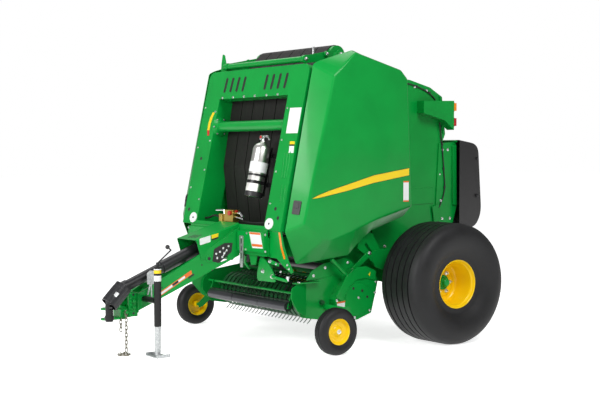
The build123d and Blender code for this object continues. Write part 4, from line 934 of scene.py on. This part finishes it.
def buildJack(x, y, top, tube):
    place = Matrix.Translation(spot(x, y, 0))
    inside = tube - jack["wall"]
    section = ((jack["low"], inside), (jack["low"], tube), (top - 0.012, tube), (top - 0.012, tube + 0.003),
               (top - 0.002, tube + 0.003), (top, tube + 0.001), (top, 0.0005), (top - 0.01, 0.0005),
               (top - 0.012, inside))
    inner = tongue["rearX"] - (tongue["rearY"] - y) * math.tan(tongueTurn) + 0.0115
    piece("jackTube", enamelBlack, [
        (addPlaced, place, addTurned, section, jack["steps"], True),
        (rodAt, (inner, y, jack["stubZ"]), (x - tube + 0.002, y, jack["stubZ"]), jack["stub"], 32)],
        ["jack_tube"])
    knee, grip = (x, y + 0.123, top + 0.124), (x, y + 0.092, top + 0.15)
    piece("jackCrank", steelDark, [(rodAt, (x, y, top), (x, y, top + 0.032), 0.012),
                                   (tubeAt, ((x, y, top + 0.026), knee, grip), 0.006, 12)], slotName="zinc")
    piece("jackKnob", polyBlack, [(addBall, spot(*grip), 0.018)])
    for name, material, low, high in jack["bands"]:
        band = hoop(low, high, tube - 0.001, tube + 0.0005)
        piece(name, material, [(addTurned, band, jack["steps"], True)], place=place)


buildJack(jack["x"], jackY, jack["top"], jack["tube"])

# Driveline rest: a zinc plate on the tongue with a hook bent downwards
piece("drivelineRest", zincHotDip, [
    (sidePlate, 0.15,
     ((-1.668, 0.56), (-1.668, 0.65), (-1.64, 0.672), (-1.6, 0.664), (-1.585, 0.6), (-1.6, 0.56)),
     0.004, 0.008),
    (tubeAt, ((0.156, -1.632, 0.62), (0.16, -1.632, 0.455), (0.16, -1.61, 0.43), (0.16, -1.585, 0.436)),
     0.006, 12),
    (rodAt, (0.09, -1.63, 0.47), (0.156, -1.63, 0.6), 0.007, 12)])
print("jack made")

# Bell's rolled rims, ribs and label, and the hitch's nuts
bell = {"x": 0.126, "z": 0.418, "ribs": 10, "dip": math.radians(46), "rims": (0.004, 0.15),
        "rim": (0.0692, 0.0025), "rib": (0.01, 0.145, 0.0692, 0.003), "seenFrom": (0.81, -0.59, 0.05),
        "label": (0.018, 0.014), "labelBack": 0.085, "labelOut": 0.0705}
tongueEnd = tongue["rearY"] - 0.905 * math.cos(tongueTurn)
hitchFront, hitchY = tongueEnd - 0.28913, tongueEnd - 0.084
bellWay = Vector((0, -math.cos(bell["dip"]), -math.sin(bell["dip"])))
bellMouth = spot(bell["x"], hitchFront + 0.006, bell["z"])
bellTurn = bellWay.to_track_quat("Z", "Y").to_matrix().to_4x4()
piece("bellRims", guardBlack, [
    (addPlaced, Matrix.Translation(bellMouth - bellWay * back) @ bellTurn, addTurned,
     ringSection(*bell["rim"], 10), 48, True) for back in bell["rims"]])
piece("hitchBolts", enamelGreen, [(boltAt, (side * 0.074, hitchY + back, z), (side, 0, 0), size)
                                  for back, z, size in ((0.045, 0.375, 0.028), (0.045, 0.425, 0.028),
                                                        (0.016, 0.345, 0.018), (0.016, 0.455, 0.018))
                                  for side in (-1, 1)])
near, far, ribOut, ribRadius = bell["rib"]
radials = [Matrix.Rotation(math.tau * number / bell["ribs"], 3, bellWay) @ Vector(outward)
           for number in range(bell["ribs"])]
piece("bellRibs", guardBlack,
      [(rodAt, (low, hitchY + 0.045, z), (high, hitchY + 0.045, z), 0.0099, 20)
       for z in (0.325, 0.475) for low, high in ((-0.0725, -0.0635), (0.0635, 0.0725))]
      + [(addRod, bellMouth - bellWay * near + radial * ribOut, bellMouth - bellWay * far + radial * ribOut,
          ribRadius, 8) for radial in radials])
seen = Vector(bell["seenFrom"])
radial = (seen - bellWay * seen.dot(bellWay)).normalized()
labelWide, labelHigh = bell["label"]
piece("bellLabel", vinylWhite, [
    (addPlate, rectangle(-labelWide, labelWide, -labelHigh, labelHigh), 0.0006,
     facetFrame(bellMouth - bellWay * bell["labelBack"] + radial * bell["labelOut"], bellWay, radial), 0.003)])

# Safety chain: links hanging from the hitch, a pile on the floor and a short second strand
link = {"open": 0.01, "wire": 0.0037, "stretch": 0.0085, "pitch": 0.0296, "top": 0.3529, "hanging": 11,
        "pile": (20, 62, 110, 160, 205, 250, 290, 335, 15), "strand": (0.046, 0.15, 0.318, 5),
        "hung": (0.1, 0.17), "onFloor": 0.0042, "raised": 0.0128}


# One round-wire link, its long axis along Y
def addLink(bm):
    known = set(bm.verts)
    addTurned(bm, ringSection(link["open"], link["wire"], 8), 16, True)
    for vert in bm.verts:
        if vert not in known and abs(vert.co.y) > 1e-5:
            vert.co.y += math.copysign(link["stretch"], vert.co.y)


def linkRow(centre, way, side):
    way = Vector(way).normalized()
    side = (Vector(side) - way * way.dot(Vector(side))).normalized()
    turned = Matrix((side, way, side.cross(way))).transposed().to_4x4()
    return addPlaced, Matrix.Translation(centre) @ turned, addLink


def strandRows(x, back, top, count):
    return [linkRow(spot(x, hitchFront + back, top - link["pitch"] * number), upward,
                    outward if number % 2 else (0, 1, 0)) for number in range(count)]


def pileRows(x, back):
    rows, place, up = [], spot(x, hitchFront + back, 0), Vector(upward)
    for number, turn in enumerate(link["pile"]):
        way = Vector((-math.cos(math.radians(turn)), -math.sin(math.radians(turn)), 0))
        place += way * (0.012 if number == 0 else link["pitch"] * 0.94)
        if number % 2:
            rows.append(linkRow(Vector((place.x, place.y, link["onFloor"])), way, up.cross(way)))
        else:
            rows.append(linkRow(Vector((place.x, place.y, link["raised"])), way, up * 0.8 + up.cross(way) * 0.6))
    return rows


piece("chainLinks", chainSteel,
      strandRows(*link["hung"], link["top"] - link["pitch"] / 2, link["hanging"]) + pileRows(*link["hung"])
      + strandRows(*link["strand"]), ["safety_chain"])
print("hitch dressed")

# Pickup: reel with round bent tines, brackets, links, covers and labels
pickup = {
    "reel": (-0.345, 0.375), "shaft": 0.02, "bars": 4, "barCircle": 0.105, "bar": 0.012, "half": 0.655,
    "phase": 78, "columns": 25, "tine": 0.0042, "disc": 0.121, "end": 0.736, "discHalf": 0.004, "margin": 0.03,
    "tineLine": ((0.0, 0.0), (0.045, -0.01), (0.066, -0.022), (0.088, -0.04)),
    "upperPlate": ((-0.5, 0.56), (-0.44, 0.64), (-0.33, 0.69), (-0.1, 0.735), (-0.02, 0.7), (0.06, 0.6)),
    "shoulder": ((-0.262, 0.42), (-0.15, 0.59), (-0.04, 0.655), (0.06, 0.66), (0.165, 0.615), (0.15, 0.54),
                 (0.06, 0.56), (-0.06, 0.55), (-0.14, 0.47), (-0.2, 0.38)),
    "lowPanel": ((-0.15, 0.47), (-0.06, 0.525), (0.07, 0.5), (0.14, 0.4), (0.105, 0.29), (-0.03, 0.245),
                 (-0.17, 0.262)),
    "label": ((-0.245, 0.378), (-0.15, 0.384), (-0.15, 0.33), (-0.238, 0.322)),
    "slotBar": (0.712, 0.762, -0.64, -0.385, 0.546, 0.556),
    "coverBolts": ((-0.23, 0.26), (-0.06, 0.235), (0.1, 0.285), (0.16, 0.43), (0.172, 0.52), (0.13, 0.6),
                   (0.03, 0.63), (-0.11, 0.56), (-0.245, 0.39), (-0.02, 0.4)),
    "panelThick": 0.0045, "cover": 0.7964, "face": 0.7001, "arm": 0.736,
    "armOutline": ((-0.052, 0.64), (-0.02, 0.612), (0.16, 0.742), (0.15, 0.778), (0.122, 0.776)),
    "faceBolts": ((-0.42, 0.6), (-0.3, 0.66), (-0.18, 0.68), (-0.06, 0.69)),
    "armBolts": ((-0.04, 0.63), (0.142, 0.762)),
}


def addReel(bm):
    y, z = pickup["reel"]
    width = pickup["half"]
    addRod(bm, spot(-pickup["end"], y, z), spot(pickup["end"], y, z), pickup["shaft"], 24)
    for x in (-width + pickup["discHalf"], 0.0, width - pickup["discHalf"]):
        rodAt(bm, (x - pickup["discHalf"], y, z), (x + pickup["discHalf"], y, z), pickup["disc"], 40)
    pitch = 2 * (width - pickup["margin"]) / (pickup["columns"] - 1)
    for number in range(pickup["bars"]):
        turn = math.radians(360 * number / pickup["bars"] + pickup["phase"])
        out, back = Vector((0, math.cos(turn), math.sin(turn))), Vector((0, -math.sin(turn), math.cos(turn)))
        middle, half = spot(0, y, z) + out * pickup["barCircle"], Vector((width, 0, 0))
        addRod(bm, middle - half, middle + half, pickup["bar"], 12)
        for column in range(pickup["columns"]):
            at = middle + Vector((-width + pickup["margin"] + pitch * column, 0, 0))
            points = [at + out * along + back * aside for along, aside in pickup["tineLine"]]
            for start, end in zip(points, points[1:]):
                addRod(bm, start, end, pickup["tine"], 6)


def buildPickup():
    onPickup = {"body": "pickup"}
    cover = pickup["cover"]
    x0, x1, y0, y1, z0, z1 = pickup["slotBar"]
    # The reel takes the green darkened as painted shade
    piece("tinedReel", paintedShadeGreen, [(addReel,)], ["pickup_reel"], "pickup_reel", "grey_steel")
    piece("pickupPlates", enamelGreen, [
        (sidePlate, pickup["face"], pickup["upperPlate"], 0.006, 0.02), (boxAt, (x0, y0, z0), (x1, y1, z1)),
        (sidePlate, cover, pickup["shoulder"], 0.0105, 0.012),
        (sidePlate, cover, pickup["lowPanel"], pickup["panelThick"], 0.02),
        (tubeAt, ((0.776, -0.287, 0.735), (0.776, -0.118, 0.58)), 0.017, 20),
        (sidePlate, pickup["arm"], pickup["armOutline"], 0.01, 0.01)], bevel=0.0015, **onPickup)
    # The first black strip lies on the slot bar as painted shade in its slot
    piece("pickupBlacks", polyBlack,
          [(sidePlate, 0.729, rectangle(-0.615, -0.405, 0.5565, 0.5575), 0.016)]
          + [(rodAt, (0.8, y, z), (0.8018, y, z), 0.012, 20)
             for y, z in ((0.02, 0.455), (-0.075, 0.48), (0.075, 0.4))]
          + [(boxAt, (-0.6, -0.602, 0.3895), (0.6, -0.566, 0.3935))]
          + [(boxAt, (x, -0.606, 0.33), (x + 0.004, -0.56, 0.395)) for x in (-0.616, 0.612)], **onPickup)
    bolts = [(cover + (pickup["panelThick"] if z < 0.5 and -0.15 < y < 0.14 else 0.0), y, z, 0.015)
             for y, z in pickup["coverBolts"]]
    bolts += [(pickup["arm"] + 0.01, *place, 0.022) for place in pickup["armBolts"]]
    bolts += [(pickup["face"] + 0.006, *place, 0.018) for place in pickup["faceBolts"]]
    piece("pickupBolts", zincPlate, [(boltAt, (x, y, z), outward, size) for x, y, z, size in bolts]
          + [(boltAt, (x, -0.6, 0.556), upward, 0.013) for x in (-0.76, -0.735, 0.737, 0.755)], **onPickup)
    for name, material, x, outline, thick, rounding in (
            ("pickupLabel", vinylWhite, 0.7966, pickup["label"], film, 0.004),
            ("pickupLabelBar", vinylOrange, 0.7972,
             ((-0.245, 0.378), (-0.15, 0.384), (-0.15, 0.37), (-0.244, 0.364)), thinFilm, 0.0),
            ("pickupMark", vinylYellow, 0.807, ((0.08, 0.59), (0.104, 0.606), (0.096, 0.574)), film, 0.0)):
        piece(name, material, [(sidePlate, x, outline, thick, rounding)], **onPickup)
    piece("guideMark", vinylYellow, [(sidePlate, 0.7262, ((0.196, 0.76), (0.222, 0.78), (0.214, 0.742)), film)])


buildPickup()

# Bell crank on the front, its plates and link, seen above the pickup
crank = {
    "plate": ((0.38, 0.555), (0.372, 0.6), (0.415, 0.748), (0.47, 0.752), (0.56, 0.69), (0.64, 0.6),
              (0.64, 0.56)),
    "upperLink": ((0.548, 0.752), (0.7, 0.722), (0.706, 0.694), (0.56, 0.712)),
    "bolts": ((0.583, 0.731, 0.024), (0.467, 0.64, 0.026), (0.669, 0.715, 0.016), (0.6, 0.605, 0.026),
              (0.72, 0.655, 0.014)),
    "post": ((0.39, 0.752), (0.47, 0.752), (0.53, 0.83), (0.47, 0.845)),
    "web": ((0.395, 0.6), (0.395, 0.7), (0.47, 0.745), (0.5, 0.7), (0.5, 0.6)),
    "hanger": ((0.3, 0.772), (0.42, 0.772), (0.4, 0.69), (0.33, 0.68)),
    "y": -0.748, "plateThick": 0.01, "linkThick": 0.009,
}
crankY = crank["y"]
piece("bellCrank", enamelGreen, [
    (frontPlate, crankY, crank["plate"], crank["plateThick"], 0.018),
    (frontPlate, crankY - 0.012, crank["upperLink"], crank["linkThick"], 0.01),
    (frontPlate, crankY - 0.001, crank["post"], crank["plateThick"], 0.006),
    (frontPlate, crankY + 0.062, crank["web"], 0.06, 0.008),
    (tubeAt, ((0.6, -0.762, 0.605), (0.66, -0.762, 0.598), (0.735, -0.7, 0.575)), 0.013, 16),
    (tubeAt, ((0.25, -0.79, 0.76), (0.2, -0.76, 0.69), (0.24, -0.74, 0.64)), 0.012, 12),
    (frontPlate, -0.78, crank["hanger"], 0.008, 0.01)], bevel=0.002)
piece("bellCrankBolts", zincPlate,
      [(boltAt, (x, crankY - 0.0105 - (crank["linkThick"] if z > 0.69 else 0), z), ahead, size)
       for x, z, size in crank["bolts"]]
      + [(rodAt, (0.735, -0.7, 0.575), (0.735, -0.7, 0.605), 0.011, 16),
         (boltAt, (0.735, -0.7, 0.6), upward, 0.024)])

# Green sheets beside the amber strip's post and behind the guide slot, then the strip itself
piece("columnSkirt", enamelGreen, [
    (frontPlate, -0.78, ((0.6, 1.0), (0.764, 1.0), (0.806, 0.86), (0.862, 0.757), (0.932, 0.668),
                          (0.905, 0.655), (0.8, 0.7), (0.7, 0.762), (0.6, 0.762)), 0.005, 0.006),
    (sidePlate, 0.7264, ((0.17, 0.77), (0.3, 0.79), (0.41, 0.78), (0.425, 0.64), (0.33, 0.6),
                         (0.21, 0.64)), 0.005, 0.02)], bevel=0.001)
piece("amberStrip", amberAcrylic, [
    (frontPlate, -0.7925, ((0.736, 0.975), (0.76, 0.975), (0.79, 0.862), (0.834, 0.77), (0.812, 0.762),
                           (0.764, 0.856)), 0.0008)])
piece("amberPostBolts", zincPlate, [(boltAt, (x, -0.7922, z), ahead, 0.014)
                                    for x, z in ((0.862, 0.722), (0.884, 0.692))])

# Painted shade: dark films filling the header's slots
slots = {"places": (0.17, 0.268, 0.366, 0.464), "z": 2.212, "half": (0.0165, 0.066), "turn": math.radians(6),
         "thick": 0.0012, "out": 0.0002, "rounding": 0.0155}
slotWide, slotHigh = slots["half"]
slotTurn = Matrix.Rotation(-slots["turn"], 2)
slotCorners = [slotTurn @ Vector(corner) for corner in rectangle(-slotWide, slotWide, -slotHigh, slotHigh)]
piece("headerSlotShade", polyBlack, [
    (portalPlate, [(side * x + corner.x, slots["z"] + corner.y) for corner in slotCorners], slots["thick"],
     slots["out"], slots["rounding"]) for x in slots["places"] for side in (-1, 1)])
eye = tongueTrim["eye"]
piece("tongueEyePin", steelDark, [(addRod, onTongue(*eye, -0.02), onTongue(*eye, 0.004), 0.0149)])
print("pickup dressed")

# Valve block's steps, pipes and caps
piece("valveSteps", passivatedBrass, [
    (boxAt, (-0.2, -0.77, 1.02), (-0.09, -0.705, 1.085)), (boxAt, (-0.1, -0.775, 1.02), (0.03, -0.7, 1.125)),
    (rodAt, (-0.145, -0.772, 1.02), (-0.145, -0.772, 1.075), 0.016, 20)], bevel=0.002)
piece("valvePipes", chromePlate, [
    (tubeAt, ((-0.15, -0.74, 1.085), (-0.16, -0.74, 1.118), (-0.29, -0.735, 1.112)), 0.01, 14),
    (tubeAt, ((0.03, -0.74, 1.1), (0.09, -0.738, 1.1), (0.13, -0.735, 1.07)), 0.01, 14),
    (tubeAt, ((0.03, -0.752, 1.07), (0.15, -0.745, 1.05)), 0.007, 14)], slotName="zinc")
piece("valveCaps", knobRed, [(rodAt, (-0.01, -0.776, 1.098), (-0.01, -0.79, 1.098), 0.02),
                             (rodAt, (0.034, -0.74, 1.112), (0.044, -0.74, 1.112), 0.012, 20)])
print("valve dressed")

# Roof: arm bosses, grease pins, the upright bar and the ear of the cross pipe
roof = {
    "bosses": ((0.586, 0.6, -0.062, 2.44, 0.04, 32), (0.6, 0.612, -0.062, 2.44, 0.026, 32),
               (0.58, 0.606, -0.422, 2.386, 0.034, 32), (0.6, 0.585, -0.2, 2.44, 0.024, 24)),
    "bolts": ((0.612, -0.062, 2.44, 0.026), (0.606, -0.422, 2.386, 0.024), (0.6, -0.2, 2.44, 0.02)),
    "ear": ((-0.7, 2.33), (-0.6, 2.33), (-0.612, 2.4), (-0.64, 2.495), (-0.668, 2.505), (-0.69, 2.42)),
}
piece("roofBosses", enamelGreen,
      [(rodAt, (side * x0, y, z), (side * x1, y, z), radius, steps)
       for side in (-1, 1) for x0, x1, y, z, radius, steps in roof["bosses"]]
      + [(frontPlate, -0.4205, roof["ear"], 0.01, 0.008),
         (rodAt, (-0.64, -0.422, 2.386), (-0.58, -0.422, 2.386), 0.03)], bevel=0.0015)
piece("roofPins", zincPlate,
      [(rodAt, (0.54, -0.3, 2.372), (0.54, -0.3, top), radius, 16)
       for top, radius in ((2.5, 0.009), (2.386, 0.016))]
      + [(boltAt, (side * x, y, z), (side, 0, 0), size) for side in (-1, 1) for x, y, z, size in roof["bolts"]])
print("roof dressed")

# Rear cover with rounded corners, open towards the machine
cover = {"half": 0.68, "sheet": 0.005, "reach": 0.085, "fold": 0.012, "middle": (0, 1.35, 1.35), "boltY": 1.456,
         "bolts": ((1.221, 0.026), (1.56, 0.02)),
         "outline": ((1.244, 1.728), (1.48, 1.69), (1.525, 1.06), (1.445, 0.925), (1.244, 0.935))}


def softLine(points, reach, steps=6):
    points = [Vector(point) for point in points]
    made = [points[0]]
    for before, corner, after in zip(points, points[1:], points[2:]):
        start, end = (corner + (other - corner) * min(0.45, reach / (other - corner).length)
                      for other in (before, after))
        for number in range(steps + 1):
            share = number / steps
            made.append(start.lerp(corner, share).lerp(corner.lerp(end, share), share))
    return made + [points[-1]]


def addCover(bm):
    rows = []
    outline = softLine(cover["outline"], cover["reach"])
    for x in (-cover["half"], cover["half"]):
        verts = [bm.verts.new(spot(x, *point)) for point in outline]
        rows.append([bm.edges.new(pair) for pair in zip(verts, verts[1:])])
    bmesh.ops.bridge_loops(bm, edges=rows[0] + rows[1])
    for row in rows:
        bmesh.ops.contextual_create(bm, geom=list({vert for edge in row for vert in edge.verts}))
    roundFolds(bm, rows[0] + rows[1], cover["fold"])
    middle = spot(*cover["middle"])
    if sum((face.calc_center_median() - middle).dot(face.normal) * face.calc_area() for face in bm.faces) < 0:
        bmesh.ops.reverse_faces(bm, faces=bm.faces)
    bmesh.ops.solidify(bm, geom=bm.verts[:] + bm.edges[:] + bm.faces[:], thickness=cover["sheet"])


piece("rearCover", polyBlack, [(addCover,)], ["wrap_cover"], "wrap_cover", smooth=32)
piece("rearCoverBolts", steelDark, [(boltAt, (side * cover["half"], cover["boltY"], z), (side, 0, 0), size)
                                    for side in (-1, 1) for z, size in cover["bolts"]], body="wrap_cover")

# Tailgate: folded strips, channel edge, bolts, lamp lenses' frames and harness clips
gate = {
    "face": 0.6101, "cheek": 0.6204,
    "band": ((0.7, 1.292), (0.985, 1.3), (0.985, 1.16), (0.7, 1.152)),
    "strip": ((1.2, 1.682), (1.246, 1.684), (1.256, 1.14), (1.205, 1.14)),
    "rearFold": ((1.05, 2.12), (1.072, 2.106), (1.108, 1.79), (1.09, 1.786)),
    "lowPost": ((0.96, 1.13), (1.045, 1.15), (1.045, 1.0), (0.985, 0.985)),
    "bolts": ((0.76, 2.195), (0.9, 2.165), (0.65, 0.8), (0.9, 0.9), (0.42, 0.8), (1.06, 1.42)),
    "cheekBolts": ((1.085, 1.64), (1.085, 1.02), (1.18, 1.02), (1.15, 1.64), (1.07, 1.18)),
    "clips": ((0.6163, 0.56, 2.241), (0.6163, 0.78, 2.197), (0.6163, 0.93, 2.146), (0.6266, 1.078, 1.69),
              (0.6266, 1.096, 1.47), (0.6266, 1.108, 1.3)),
    "bolt": 0.018, "clip": (0.006, 0.008, 0.01, 0.0085), "lamps": (2.022, 1.887), "lampHalf": 0.039,
}
onGate = {"body": "tailgate"}
piece("gateFolds", enamelGreen,
      [(sidePlate, x, outline, thick, 0.004) for outline, thick, x in (
          (gate["band"], 0.006, gate["face"]), (gate["strip"], 0.012, gate["cheek"]),
          (gate["rearFold"], 0.014, gate["face"]), (gate["lowPost"], 0.008, gate["cheek"]))] + [(mirrorAll,)],
      bevel=0.0015, **onGate)
piece("gateBolts", zincPlate,
      [(boltAt, (gate["face"], *place), outward, gate["bolt"]) for place in gate["bolts"]]
      + [(boltAt, (gate["cheek"], *place), outward, gate["bolt"]) for place in gate["cheekBolts"]]
      + [(mirrorAll,)], **onGate)
inner, along, high, outer = gate["clip"]
piece("harnessClips", polyBlack,
      [(boxAt, (x - inner, y - along, z - high), (x + outer, y + along, z + high)) for x, y, z in gate["clips"]]
      + [(rodAt, (0.59, 0.36, 2.205), (0.622, 0.36, 2.205), 0.014, 16)], bevel=0.002, **onGate)
piece("lampBases", polyBlack,
      [(boxAt, (low, 1.1503, z - gate["lampHalf"]), (high, 1.16, z + gate["lampHalf"]))
       for z in gate["lamps"] for low, high in ((-0.7005, -0.645), (0.645, 0.7005))], bevel=0.002, **onGate)
print("tailgate dressed")
